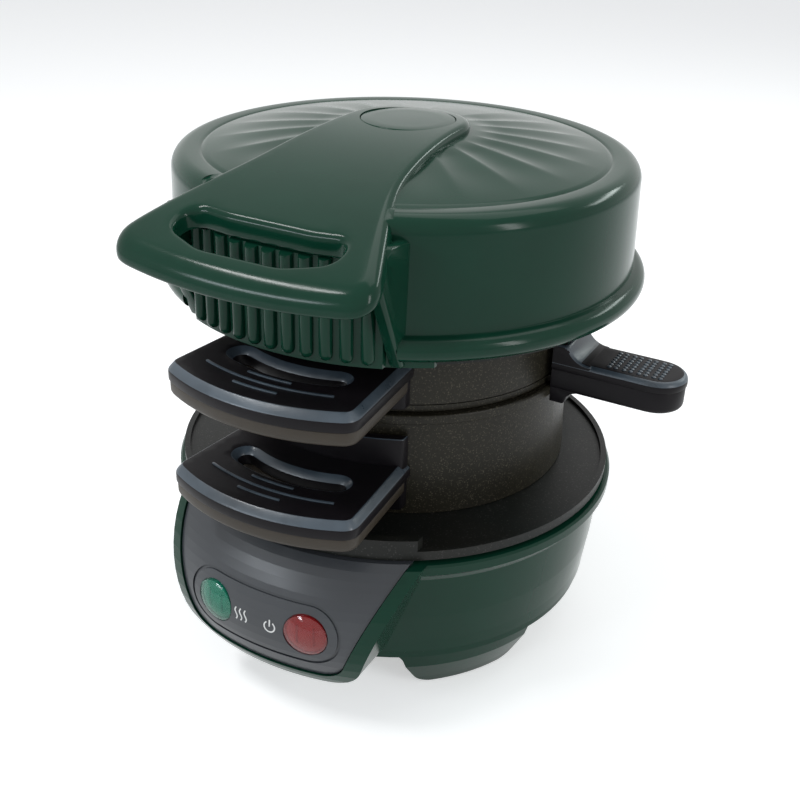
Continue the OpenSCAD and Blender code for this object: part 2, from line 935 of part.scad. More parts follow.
module lower_plate()
  color(black) in_frame()
    difference() {
      union() {
        translate([0, 0, plate_z]) cylinder(r = plate_r, h = plate_t);
        ring_band(plate_r - plate_lip_w, plate_r, plate_z, plate_top + plate_lip_h);
        ring_band(skirt_r - skirt_t, skirt_r, plate_z - skirt_h, plate_z + plate_t / 2);
        intersection() {
          ring_band(plate_r - guard_t, plate_r, plate_z, plate_top + plate_lip_h + guard_h);
          translate([-guard_w, -base_r, 0]) cube([2 * guard_w, base_r, rim_z + 4 * guard_h]);
        }
        element_channels(element_r, plate_z - channel_h, plate_z + plate_t / 2);
        for (a = lug_az)
          at_az(a, plate_boss_r)
            translate([0, 0, plate_z - plate_boss_h]) cylinder(r = boss_r, h = plate_boss_h + plate_t / 2);
      }
      for (a = lug_az)
        at_az(a, plate_boss_r)
          translate([0, 0, plate_z - plate_boss_h - cut])
            cylinder(r = screw_r, h = plate_boss_h - screw_end_gap);
    }

// A sheathed element: an open ring of tube with a terminal near each end
module element(reach)
  rotate([0, 0, 90 + (360 - element_deg) / 2]) {
    rotate_extrude(angle = element_deg) translate([reach, 0]) circle(r = tube_r, $fn = fine_fn);
    for (a = [terminal_deg, element_deg - terminal_deg]) at_az(a, reach) children();
  }

module lower_element()
  color(steel) in_frame()
    translate([0, 0, plate_z - tube_r])
      element(element_r)
        translate([0, 0, -tube_r - terminal_l])
          cylinder(r = terminal_r, h = terminal_l + tube_r, $fn = fine_fn);

module stat()
  union() {
    cylinder(r = stat_r, h = stat_h - stat_cap_h);
    translate([0, 0, stat_h - stat_cap_h]) cylinder(r = stat_cap_r, h = stat_cap_h);
    for (s = [-1, 1])
      translate([s * stat_r / 2, 0, -terminal_l / 2])
        cylinder(r = terminal_r, h = terminal_l, $fn = fine_fn);
  }

module lower_thermostat() color("ivory") in_frame() translate([0, 0, plate_z - stat_h]) stat();

module thermal_fuse()
  color("white") in_frame()
    translate([0, -fuse_y, plate_z - fuse_r]) bar_x(fuse_r, -fuse_l / 2, fuse_l / 2);

// Ways through a heat shield for the element's and the thermostat's terminals
module shield_holes(reach) {
  for (s = [-1, 1])
    at_az(90 + s * ((360 - element_deg) / 2 + terminal_deg), reach)
      translate([0, 0, -cut]) cylinder(r = terminal_r + shield_hub_gap, h = shield_t + 2 * cut);
  translate([0, 0, -cut])
    cylinder(r = stat_r / 2 + terminal_r + shield_hub_gap, h = shield_t + 2 * cut);
}

module base_heat_shield()
  color(alloy) in_frame()
    translate([0, 0, shield_z])
      difference() {
        linear_extrude(shield_t) {
          circle(r = shield_r);
          for (a = lug_az) rotate(a) {
            translate([0, -shield_tab_w / 2]) square([plate_boss_r, shield_tab_w]);
            translate([plate_boss_r, 0]) circle(d = shield_tab_w);
          }
        }
        for (a = lug_az)
          at_az(a, plate_boss_r)
            translate([0, 0, -cut]) cylinder(r = screw_r + side_gap, h = shield_t + 2 * cut);
        shield_holes(element_r);
      }

module lower_plate_screws()
  color(steel) in_frame()
    for (a = lug_az)
      at_az(a, plate_boss_r)
        translate([0, 0, shield_z]) screw(shield_t + lug_t + plate_boss_h - 2 * screw_end_gap);

module hinge_pin()
  color(steel) in_frame()
    translate([0, hinge_y, hinge_z])
      difference() {
        bar_x(pin_r, -pin_half, pin_half);
        for (s = [-1, 1])
          difference() {
            bar_x(pin_r + cut, s * (pin_half - clip_t) - clip_t / 2, s * (pin_half - clip_t) + clip_t / 2);
            bar_x(pin_r * 0.8, -pin_half, pin_half);
          }
      }

module hinge_clips()
  color(steel) in_frame()
    translate([0, hinge_y, hinge_z])
      for (s = [-1, 1])
        difference() {
          bar_x(
            clip_r,
            s * (pin_half - clip_t) - clip_t / 2 + thread_gap,
            s * (pin_half - clip_t) + clip_t / 2 - thread_gap
          );
          bar_x(pin_r * 0.8 + thread_gap, -pin_half, pin_half);
          translate([-pin_half - cut, -clip_r - cut, -pin_r * 0.7])
            cube([2 * (pin_half + cut), clip_r + cut, pin_r * 1.4]);
        }

module cord_gland()
  color(black) in_frame()
    translate([0, tower_y, gland_z])
      rotate([90, 0, 0])
        difference() {
          union() {
            translate([0, 0, -gland_lip_t]) cylinder(r = gland_lip_r, h = gland_lip_t);
            cylinder(r = gland_r, h = gland_l);
          }
          translate([0, 0, -gland_lip_t - cut])
            cylinder(r = gland_bore_r, h = gland_l + gland_lip_t + 2 * cut);
        }

module terminal_block()
  color("ivory") in_frame()
    difference() {
      translate([-block_l / 2, block_y - block_w / 2, bowl_z + floor_t]) cube([block_l, block_w, block_h]);
      for (i = [-1:1])
        translate([i * block_l / 3, block_y - block_w, bowl_z + floor_t + block_h / 2])
          rotate([-90, 0, 0]) cylinder(r = block_hole_r, h = 2 * block_w);
    }

module base_wiring()
  color("dimgray") in_frame() {
    for (i = [-1:1])
      wire([
        [i * wire_pitch, tower_y - gland_l - 2 * wire_r, gland_z + i * i * wire_r],
        [i * block_l / 3, block_y + block_w + wire_r, wire_z],
        [i * block_l / 3, block_y, wire_z]
      ]);
    for (s = [-1, 1])
      wire([
        [s * block_l / 3, block_y - block_w / 4, wire_z],
        [s * block_l / 3, block_y - block_w * 1.5, wire_z],
        [s * lens_x / 2, -nose_back_y, lens_z],
        [s * lens_x, -lens_seat + lens_depth + socket_l + wire_r * 2, lens_z]
      ]);
  }

// COOKING RINGS

module about_rings() translate([0, ring_y, 0]) children();

ring_side = [
  [ring_bore_r, low_z],
  [ring_r + ring_draft, low_z],
  [ring_r, low_top - ring_lip_h - ring_lip_t],
  [ring_r + ring_lip_t, low_top - ring_lip_h],
  [ring_r + ring_lip_t, low_top],
  [ring_bore_r, low_top]
];

// Flat tab that a ring's handle is screwed to
module handle_tab(z)
  difference() {
    translate([-tab_w, -tab_y, z]) cube([2 * tab_w, tab_y - tab_root_y, tab_t]);
    for (s = [-1, 1])
      translate([s * grip_screw_x, -grip_screw_y, z - cut])
        cylinder(r = screw_r + side_gap, h = tab_t + 2 * cut);
    about_rings() translate([0, 0, z - cut]) cylinder(r = ring_bore_r, h = tab_t + 2 * cut);
  }

function split_of(z) = z + grip_t * grip_split_share;

// Outwards from the rings' axis, at each of a ring's two rivets
module at_rivets(z)
  for (s = [-1, 1])
    about_rings() translate([0, 0, z]) rotate([0, 0, 90 + s * rivet_az]) rotate([0, 90, 0]) children();

module rivet_holes(z, r) at_rivets(z) cylinder(r = r, h = ring_r + 4 * ring_t);

module lower_ring()
  color(coated) in_frame()
    difference() {
      union() {
        about_rings() rotate_extrude() polygon(ring_side);
        handle_tab(split_of(low_grip_z));
      }
      rivet_holes(low_rivet_z, rivet_r + thread_gap);
    }

module bracket_band(z0, z1)
  about_rings()
    ring_sector(
      ring_r + ring_draft + side_gap, ring_r + ring_draft + side_gap + bracket_t,
      z0, z1,
      90 - bracket_deg / 2, 90 + bracket_deg / 2
    );

module ring_arm(x0, x1, z0, z1)
  side_prism(x0, x1)
    polygon(rounded(
      [
        [ring_y + ring_r + ring_draft + bracket_t / 2, z0],
        [hinge_y - knuckle_r * 0.6, hinge_z - knuckle_r * 0.9],
        [hinge_y + knuckle_r * 0.4, hinge_z + knuckle_r * 0.9],
        [ring_y + ring_r + ring_draft + bracket_t * 3, z1],
        [ring_y + ring_r + ring_draft + bracket_t / 2, z1]
      ],
      [0, 0, 0, bracket_t, 0]
    ));

module knuckle(x0, x1) translate([0, hinge_y, hinge_z]) bar_x(knuckle_r, x0, x1);
module knuckle_bore() translate([0, hinge_y, hinge_z]) bar_x(pin_r + run_gap, -pin_half, pin_half);

module lower_hinge_bracket()
  color(black) in_frame()
    difference() {
      union() {
        bracket_band(low_rivet_z - low_bracket_half, low_rivet_z + low_bracket_half);
        for (s = [-1, 1]) {
          x0 = s > 0 ? ring_arm_x : -ring_arm_x - ring_arm_w;
          ring_arm(x0, x0 + ring_arm_w, hinge_z - knuckle_r * 0.6, low_rivet_z + low_bracket_half);
          knuckle(x0, x0 + ring_arm_w);
        }
      }
      knuckle_bore();
      rivet_holes(low_rivet_z, rivet_r + thread_gap);
    }

module rivets(z)
  at_rivets(z) {
    outside = ring_r + ring_draft + side_gap + bracket_t;
    translate([0, 0, ring_bore_r - cut * 0.4])
      cylinder(r = rivet_r, h = outside - ring_bore_r + cut * 0.8);
    translate([0, 0, outside + thread_gap]) cylinder(r = rivet_head_r, h = rivet_head_h);
  }

module lower_ring_rivets() color(steel) in_frame() rivets(low_rivet_z);

// Plan of a ring handle, drawn in X and Y, drawn in by an amount on the front and sides
function grip_front(inset, x) =
  -(grip_y - inset) + grip_round - sqrt(grip_round * grip_round - x * x);
function grip_plan(inset) =
  let (w = grip_w - inset)
  rounded(
    both_sides(concat(
      [[grip_root_w - inset, -grip_root_y]],
      [for (k = [4:-1:0]) [w * k / 4, grip_front(inset, w * k / 4)]]
    )),
    [0, grip_corner, 0, 0, 0, 0, 0, 0, 0, grip_corner, 0]
  );

// Vertical part of a handle that hugs its ring
module grip_wall(z0, z1)
  intersection() {
    about_rings() ring_band(ring_r + ring_draft + wall_gap, ring_r + ring_draft + wall_gap + wall_t, z0, z1);
    translate([-grip_root_w, -base_r, z0]) cube([2 * grip_root_w, base_r, z1 - z0]);
  }

module grip_slot(z)
  translate([0, -grip_y + grip_round, z - cut])
    intersection() {
      difference() {
        cylinder(r = grip_slot_y1 - grip_y + grip_round, h = grip_t + 2 * cut);
        translate([0, 0, -cut]) cylinder(r = grip_slot_y0 - grip_y + grip_round, h = grip_t + 4 * cut);
      }
      translate([-grip_slot_w, -grip_y, -cut]) cube([2 * grip_slot_w, grip_y, grip_t + 4 * cut]);
    }

module ring_clear(z0, z1)
  about_rings() translate([0, 0, z0]) cylinder(r = ring_r + ring_draft + wall_gap, h = z1 - z0);

module tab_pocket(z)
  translate([-tab_w - side_gap, -tab_y - side_gap, z - thread_gap])
    cube([2 * (tab_w + side_gap), tab_y - tab_root_y + 2 * side_gap, tab_t + 2 * thread_gap]);

module handle_top(z, wall_z, wall_top) {
  split = split_of(z);
  top = z + grip_t;
  difference() {
    union() {
      difference() {
        hull() {
          translate([0, 0, split]) linear_extrude(top - grip_bevel_h - split) polygon(grip_plan(0));
          translate([0, 0, top - thread_gap]) linear_extrude(thread_gap) polygon(grip_plan(grip_bevel));
        }
        ring_clear(z, top + cut);
      }
      grip_wall(wall_z, wall_top);
      for (i = [0:2])
        translate([0, -line_y[i] + grip_round, 0])
          let (half = asin((i == 1 ? line_long : line_short) / grip_round))
          ring_sector(
            grip_round - line_r, grip_round + line_r,
            top - thread_gap, top + line_h,
            270 - half, 270 + half
          );
    }
    grip_slot(z);
    tab_pocket(split);
    for (s = [-1, 1])
      translate([s * grip_screw_x, -grip_screw_y, split]) cylinder(r = screw_r, h = (top - split) * 0.75);
    // the lower half of the handle fills this part of the wall
    translate([-grip_root_w - cut, -base_r, z - side_gap])
      intersection() {
        cube([2 * (grip_root_w + cut), base_r, split - z + side_gap]);
        translate([grip_root_w + cut, base_r + ring_y, 0])
          difference() {
            cylinder(r = base_r * 2, h = grip_t);
            translate([0, 0, -cut])
              cylinder(r = ring_r + ring_draft + wall_gap + wall_t, h = grip_t + 2 * cut);
          }
      }
  }
}

module handle_bottom(z) {
  split = split_of(z);
  difference() {
    translate([0, 0, z]) linear_extrude(split - z - thread_gap) polygon(grip_plan(half_inset));
    about_rings()
      translate([0, 0, z - cut])
        cylinder(r = ring_r + ring_draft + wall_gap + wall_t + side_gap / 2, h = grip_t);
    grip_slot(z);
    for (s = [-1, 1])
      translate([s * grip_screw_x, -grip_screw_y, z - cut]) {
        cylinder(r = screw_r + side_gap, h = grip_t);
        cylinder(r = screw_head_r + side_gap, h = screw_head_h + 2 * cut);
      }
  }
}

module handle_screws(z)
  for (s = [-1, 1])
    translate([s * grip_screw_x, -grip_screw_y, z + screw_head_h + cut])
      screw(split_of(z) - z + grip_t * 0.15);

module lower_handle_top() color(black) in_frame() handle_top(low_grip_z, low_wall_z, low_wall_top);
module lower_handle_bottom() color(black) in_frame() handle_bottom(low_grip_z);
module lower_handle_screws() color(steel) in_frame() handle_screws(low_grip_z);

module upper_ring()
  color(coated) in_frame()
    difference() {
      union() {
        about_rings() {
          ring_band(ring_bore_r, ring_r, up_z, up_top);
          ring_band(ring_bore_r, ring_r + ring_lip_t, up_top - ring_lip_h, up_top);
        }
        handle_tab(split_of(up_grip_z));
        // boss that the cooking plate's pivot is riveted into
        difference() {
          union() {
            translate([pivot_x, pivot_y, up_z]) cylinder(r = ear_plate_r, h = pivot_boss_h);
            about_rings()
              rotate([0, 0, 90 - pivot_az])
                translate([ring_bore_r + ring_t / 2, -ear_plate_r + cut, up_z])
                  cube([pivot_out, 2 * (ear_plate_r - cut), pivot_boss_h]);
          }
          about_rings() translate([0, 0, up_z - cut]) cylinder(r = ring_bore_r + ring_t / 4, h = up_ring_h);
        }
      }
      rivet_holes(up_rivet_z, rivet_r + thread_gap);
      translate([pivot_x, pivot_y, up_z - cut])
        cylinder(r = pivot_r + thread_gap, h = pivot_boss_h + 2 * cut);
    }

module upper_hinge_bracket()
  color(black) in_frame()
    difference() {
      union() {
        bracket_band(up_rivet_z - up_bracket_low, up_rivet_z + up_bracket_high);
        knuckle(-mid_arm_w, mid_arm_w);
        side_prism(-mid_arm_w, mid_arm_w)
          polygon(rounded(
            [
              [ring_y + ring_r + ring_draft + bracket_t / 2, up_rivet_z - up_bracket_low],
              [hinge_y - knuckle_r * 1.9, up_rivet_z - up_bracket_low],
              [hinge_y - knuckle_r, hinge_z],
              [hinge_y + knuckle_r, hinge_z],
              [hinge_y + knuckle_r * 0.9, hinge_z + knuckle_r * 2],
              [hinge_y - knuckle_r * 0.4, up_rivet_z + up_bracket_high],
              [ring_y + ring_r + ring_draft + bracket_t / 2, up_rivet_z + up_bracket_high]
            ],
            [0, bracket_t, 0, 0, bracket_t, bracket_t, 0]
          ));
      }
      knuckle_bore();
      rivet_holes(up_rivet_z, rivet_r + thread_gap);
    }

module upper_ring_rivets() color(steel) in_frame() rivets(up_rivet_z);
module upper_handle_top() color(black) in_frame() handle_top(up_grip_z, up_wall_z, up_wall_top);
module upper_handle_bottom() color(black) in_frame() handle_bottom(up_grip_z);
module upper_handle_screws() color(steel) in_frame() handle_screws(up_grip_z);

module plate_pivot()
  color(steel) in_frame()
    translate([pivot_x, pivot_y, 0]) {
      translate([0, 0, cook_z - seat_gap - pivot_head_h]) cylinder(r = pivot_head_r, h = pivot_head_h);
      translate([0, 0, cook_z - seat_gap - cut])
        cylinder(r = pivot_r, h = up_z + pivot_boss_h - cook_z + seat_gap + cut);
    }

// COOKING PLATE

module cooking_plate()
  color(coated) in_frame()
    difference() {
      union() {
        about_rings() {
          difference() {
            translate([0, 0, cook_z]) cylinder(r = cook_r, h = cook_t);
            translate([0, 0, cook_top - cook_dish]) cylinder(r = ring_bore_r - cook_lip_t, h = cook_t);
          }
          translate([ring_bore_r, -side_tab_w, cook_z])
            cube([side_root + side_tab_l - ring_bore_r, 2 * side_tab_w, cook_t]);
          rotate([0, 0, 90 - pivot_az])
            translate([ring_bore_r, -ear_plate_r + cut, cook_z])
              cube([pivot_reach - ring_bore_r, 2 * (ear_plate_r - cut), cook_t]);
        }
        translate([pivot_x, pivot_y, cook_z]) cylinder(r = ear_plate_r, h = cook_t);
      }
      translate([pivot_x, pivot_y, cook_z - cut]) cylinder(r = pivot_r + run_gap, h = cook_t + 2 * cut);
      about_rings()
        translate([side_root + side_screw_at, 0, cook_z - cut])
          cylinder(r = screw_r + side_gap, h = cook_t + 2 * cut);
    }

// Plan of the side handle about the rings' axis
module side_plan(inset) {
  translate([side_reach - side_w, 0]) circle(r = side_w - inset);
  translate([side_root - side_over, -side_w + inset])
    square([side_l - side_w + side_over, 2 * (side_w - inset)]);
}

module side_ring_clear()
  translate([0, 0, side_low - 2 * hook_h])
    cylinder(r = ring_r + ring_lip_t + ring_draft + wall_gap, h = 4 * grip_t);

module plate_handle_top()
  color(black) in_frame() about_rings()
    difference() {
      union() {
        hull() {
          translate([0, 0, side_split]) linear_extrude(side_top - side_bevel - side_split) side_plan(0);
          translate([0, 0, side_top - thread_gap]) linear_extrude(thread_gap) side_plan(side_bevel);
        }
        // scooped stop at the ring's end
        front_prism(-side_w + side_bevel / 2, side_w - side_bevel / 2)
          polygon(concat(
            [[side_root - side_over, side_split + cut], [side_root + scoop_t + scoop_l, side_split + cut]],
            arc([side_root + scoop_t + scoop_l, side_top + scoop_l - thread_gap], scoop_l, 270, 230, 6),
            [
              [side_root + scoop_t, side_top + scoop_h],
              [side_root - side_over / 2, side_top + scoop_h - scoop_drop]
            ]
          ));
        // block that clamps the plate's tab
        translate([side_root, -side_tab_w, cook_top + thread_gap])
          cube([side_tab_l, 2 * side_tab_w, side_split - cook_top]);
        for (i = [0:bump_cols - 1], j = [0:bump_rows - 1])
          translate([
            side_root + bump_start + i * bump_pitch + floor(i / 2) * bump_pitch * bump_pair_share,
            (j - (bump_rows - 1) / 2) * bump_row_pitch,
            side_top - thread_gap
          ])
            cylinder(r = bump_r, h = bump_h + thread_gap, $fn = fine_fn);
      }
      side_ring_clear();
      translate([side_root + side_screw_at, 0, cook_z])
        cylinder(r = screw_r, h = side_split - cook_z + screw_end_gap);
    }

module plate_handle_bottom()
  color(black) in_frame() about_rings()
    difference() {
      union() {
        translate([0, 0, side_low]) linear_extrude(side_split - side_low - thread_gap) side_plan(side_inset);
        translate([side_root - side_over, -side_w + side_inset, side_low - hook_h])
          cube([hook_t + side_over, 2 * (side_w - side_inset), hook_h + cut]);
      }
      side_ring_clear();
      translate([side_root - 2 * side_over, -side_tab_w - side_gap, cook_z - thread_gap])
        cube([side_tab_l + 2 * side_over + side_gap, 2 * (side_tab_w + side_gap), side_split]);
      translate([side_root + side_screw_at, 0, side_low - cut])
        cylinder(r = screw_r + side_gap, h = grip_t);
    }

module plate_handle_screws()
  color(steel) in_frame() about_rings()
    translate([side_root + side_screw_at, 0, side_low - thread_gap]) screw(side_split - side_low);

// LID

module about_lid() translate([0, lid_y, 0]) children();

function dome_z(r) = shoulder_z + dome_h * (1 - (r / crease_r) * (r / crease_r));
dome_top = [for (i = [dome_steps:-1:0]) let (r = crease_r * i / dome_steps) [r, dome_z(r)]];

lid_side = concat(
  [
    [flange_z0_r, lid_z],
    [flange_r - flange_in_low, lid_z + flange_low],
    [flange_r, lid_z + flange_mid],
    [flange_r - flange_in_high, lid_z + flange_high],
    [lid_r + flange_step, lid_z + flange_end]
  ],
  arc([lid_top_r - shoulder_r, shoulder_z - shoulder_r], shoulder_r, 0, 90, 6)
);

module lid_skin()
  about_lid()
    rotate_extrude()
      polygon(concat(
        lid_side,
        dome_top,
        [
          for (i = [0:dome_steps])
            let (r = (crease_r - lid_t) * i / dome_steps)
            [r, dome_z(r) - lid_t]
        ],
        [
          [lid_top_r - shoulder_r * 0.6 - lid_t, shoulder_z - lid_t],
          [lid_top_r - lid_t, shoulder_z - shoulder_r],
          [lid_r - lid_t, lid_z + flange_end],
          [lid_r - lid_t / 3, lid_z]
        ]
      ));

// Height of the raised spine along the middle plane, at a distance in front of the axis
function spine_z(y) = apex_z - spine_r + sqrt(spine_r * spine_r - (y + lid_y) * (y + lid_y));
function spine_y(i) = -spine_back + (lid_grip_y + spine_back) * i / spine_steps;

// The arc of the handle's front edge, and the plan of the spine and the handle
function lid_front(x) = lid_grip_arc - sqrt(lid_grip_arc * lid_grip_arc - x * x);
function lid_plan(inset) =
  let (w = lid_grip_w - inset, corner_y = -lid_grip_y + inset + lid_front(w) + lid_grip_corner)
  concat(
    arc([0, lid_y], panel_end_w - inset, 0, 180, 16),
    [
      [-panel_mid_w + inset, -panel_mid_y],
      [-panel_neck_w + inset, -panel_neck_y]
    ],
    arc([-w + lid_grip_corner, corner_y], lid_grip_corner, 170, 262, 6),
    [for (k = [-2:2]) [w * k / 3.2, -lid_grip_y + inset + lid_front(w * k / 3.2)]],
    arc([w - lid_grip_corner, corner_y], lid_grip_corner, -82, 10, 6),
    [
      [panel_neck_w - inset, -panel_neck_y],
      [panel_mid_w - inset, -panel_mid_y]
    ]
  );

module spine_slab()
  intersection() {
    linear_extrude(2 * apex_z) polygon(lid_plan(0));
    side_prism(-lid_grip_w - cut, lid_grip_w + cut)
      polygon(rounded(
        concat(
          [for (i = [0:spine_steps]) [-spine_y(i), spine_z(spine_y(i))]],
          [[-lid_grip_y + lid_grip_in, spine_z(lid_grip_y) - lid_grip_t + lid_grip_low]],
          [for (i = [spine_steps - 1:-1:0])
            let (y = spine_y(i), t = y > panel_neck_y ? lid_grip_t : spine_t)
            [-y, spine_z(y) - t]]
        ),
        concat(
          [for (i = [1:spine_steps]) 0],
          [lid_edge_r0, lid_edge_r1],
          [for (i = [1:spine_steps]) 0]
        )
      ));
  }

// Space above the spine, where the lid's shoulder makes way for it
module spine_above()
  intersection() {
    translate([0, 0, shoulder_z / 2]) linear_extrude(apex_z) polygon(lid_plan(thread_gap));
    side_prism(-lid_grip_w, lid_grip_w)
      polygon(concat(
        [[spine_back, 2 * apex_z], [-lid_grip_y, 2 * apex_z]],
        [for (i = [spine_steps:-1:0]) [-spine_y(i), spine_z(spine_y(i)) - cut]]
      ));
  }

function lid_slot_plan() =
  rounded(
    [
      [-lid_slot_w, -lid_slot_y0],
      [-lid_slot_w, -lid_slot_y1 + lid_slot_bow],
      [-lid_slot_w / 2, -lid_slot_y1 + lid_slot_mid],
      [lid_slot_w / 2, -lid_slot_y1 + lid_slot_mid],
      [lid_slot_w, -lid_slot_y1 + lid_slot_bow],
      [lid_slot_w, -lid_slot_y0]
    ],
    [lid_slot_round, lid_slot_round * 0.7, 0, 0, lid_slot_round * 0.7, lid_slot_round]
  );

// Gussets between the handle's underside and the lid's wall
module cheeks()
  intersection() {
    side_prism(-skirt_w, skirt_w)
      polygon([
        [-cheek_reach, spine_z(cheek_reach) - lid_grip_t + cheek_over],
        [-cheek_foot, lid_z - front_skirt],
        [-cheek_end, lid_z - front_skirt],
        [-cheek_end, shoulder_z - shoulder_r],
        [-cheek_top, spine_z(cheek_top) - cheek_over]
      ]);
    for (s = [-1, 1])
      front_prism(-lid_grip_y, -cheek_end)
        translate([s > 0 ? cheek_w : -cheek_out, 0]) square([cheek_t, shoulder_z]);
  }

module lid_front_cut()
  about_lid()
    intersection() {
      ring_band(lid_r - flange_step, flange_r + cut, lid_z - cut, lid_z + flange_end + lid_gap);
      translate([-cheek_out, -flange_r - cut, 0]) cube([2 * cheek_out, flange_r, 2 * lid_z]);
    }

// The lid's wall reaches lower at the front
module front_skirt()
  about_lid()
    intersection() {
      ring_band(lid_r - skirt_t0, lid_r - flange_step, lid_z - front_skirt, lid_z + flange_low);
      translate([-skirt_w, -flange_r, 0]) cube([2 * skirt_w, flange_r, 2 * lid_z]);
    }

// Shallow valleys that fan out over the dome on both sides of the spine
module pleats()
  for (s = [-1, 1], i = [0:pleat_count - 1]) {
    a = 90 - s * 90 + s * (pleat_first_az + i * pleat_step_az);
    run = pleat_out - pleat_in;
    rise = dome_z(pleat_out) + pleat_r1 - dome_z(pleat_in) - pleat_r0 + pleat_depth;
    about_lid()
      rotate([0, 0, a])
        translate([pleat_in, 0, dome_z(pleat_in) - pleat_depth + pleat_r0])
          rotate([0, 90 - atan(rise / run), 0])
            cylinder(r1 = pleat_r0, r2 = pleat_r1, h = run);
  }

module lid_posts()
  for (a = post_az)
    about_lid() at_az(a, post_reach)
      translate([0, 0, up_plate_z + up_plate_t + thread_gap])
        cylinder(r = post_r, h = shoulder_z - lid_t / 2 - up_plate_z - up_plate_t);

module lid_shell()
  color(green) in_frame()
    difference() {
      union() {
        difference() {
          union() {
            lid_skin();
            front_skirt();
          }
          pleats();
          lid_front_cut();
          spine_above();
        }
        difference() {
          union() {
            spine_slab();
            cheeks();
          }
          about_lid() {
            cylinder(r = lid_r - lid_t, h = spine_z(panel_neck_y) - spine_t - hollow_drop);
            cylinder(r = lid_r - skirt_t0, h = lid_z + flange_mid);
          }
        }
        lid_posts();
      }
      translate([0, 0, lid_z]) linear_extrude(2 * lid_h) polygon(lid_slot_plan());
      about_lid()
        translate([0, 0, apex_z - badge_t - badge_drop])
          cylinder(r = badge_r + side_gap, h = badge_t * 3);
      for (a = post_az)
        about_lid() at_az(a, post_reach)
          translate([0, 0, up_plate_z]) cylinder(r = screw_r, h = up_plate_t + post_hole_l);
      for (s = [-1, 1])
        translate([s * bracket_screw_x, 0, lid_z + bracket_screw_z]) rotate([-90, 0, 0])
          cylinder(r = screw_r, h = base_r * 2);
    }

module badge_disc()
  color(green) in_frame() about_lid()
    translate([0, 0, apex_z - badge_t - badge_drop]) cylinder(r = badge_r, h = badge_t);

module lid_grille()
  color(green) in_frame()
    intersection() {
      about_lid() union() {
        ring_band(grille_r, grille_r + grille_t, lid_z - front_skirt + grille_low, shoulder_z);
        for (i = [0:rib_count - 1]) {
          x = (i - (rib_count - 1) / 2) * rib_pitch;
          r = grille_r + grille_t;
          translate([x, -sqrt(r * r - x * x), lid_z + grille_low])
            cylinder(r = rib_r, h = lid_h, $fn = fine_fn);
        }
      }
      side_prism(-grille_w, grille_w)
        polygon(concat(
          [
            [-panel_neck_y + grille_back, lid_z - 2 * front_skirt],
            [-flange_r - grille_over, lid_z - 2 * front_skirt]
          ],
          [
            for (y = [flange_r + grille_over, lid_slot_y0, panel_neck_y + grille_back])
              [-y, spine_z(y) - lid_grip_t - grille_gap]
          ],
          [[-panel_neck_y + grille_back, spine_z(panel_neck_y + grille_back) - lid_grip_t - grille_gap]]
        ));
    }

module upper_plate()
  color(black) in_frame() about_lid()
    difference() {
      union() {
        translate([0, 0, up_plate_z]) cylinder(r = up_plate_r, h = up_plate_t);
        ring_band(
          up_plate_r - up_plate_lip_w, up_plate_r,
          up_plate_z - up_plate_lip, up_plate_z + up_plate_t
        );
        element_channels(up_element_r, up_plate_z + up_plate_t / 2, up_plate_z + up_plate_t + channel_h);
        for (a = post_az)
          at_az(a, pillar_reach)
            translate([0, 0, up_plate_z]) cylinder(r = pillar_r, h = up_plate_t + pillar_h);
      }
      for (a = post_az)
        at_az(a, post_reach)
          translate([0, 0, up_plate_z - cut]) cylinder(r = screw_r + side_gap, h = up_plate_t + 2 * cut);
    }

module upper_element()
  color(steel) in_frame() about_lid()
    translate([0, 0, up_plate_z + up_plate_t + tube_r])
      element(up_element_r) cylinder(r = terminal_r, h = terminal_l + tube_r, $fn = fine_fn);

module upper_thermostat()
  color("ivory") in_frame() about_lid()
    translate([0, 0, up_plate_z + up_plate_t + stat_h]) rotate([180, 0, 0]) stat();

module lid_heat_shield()
  color(alloy) in_frame() about_lid()
    translate([0, 0, up_plate_z + up_plate_t + pillar_h])
      difference() {
        cylinder(r = pillar_reach + pillar_r, h = shield_t);
        shield_holes(up_element_r);
      }

module lid_screws()
  color(steel) in_frame() about_lid()
    for (a = post_az)
      at_az(a, post_reach) translate([0, 0, up_plate_z - thread_gap]) screw(up_plate_t + post_screw_l);

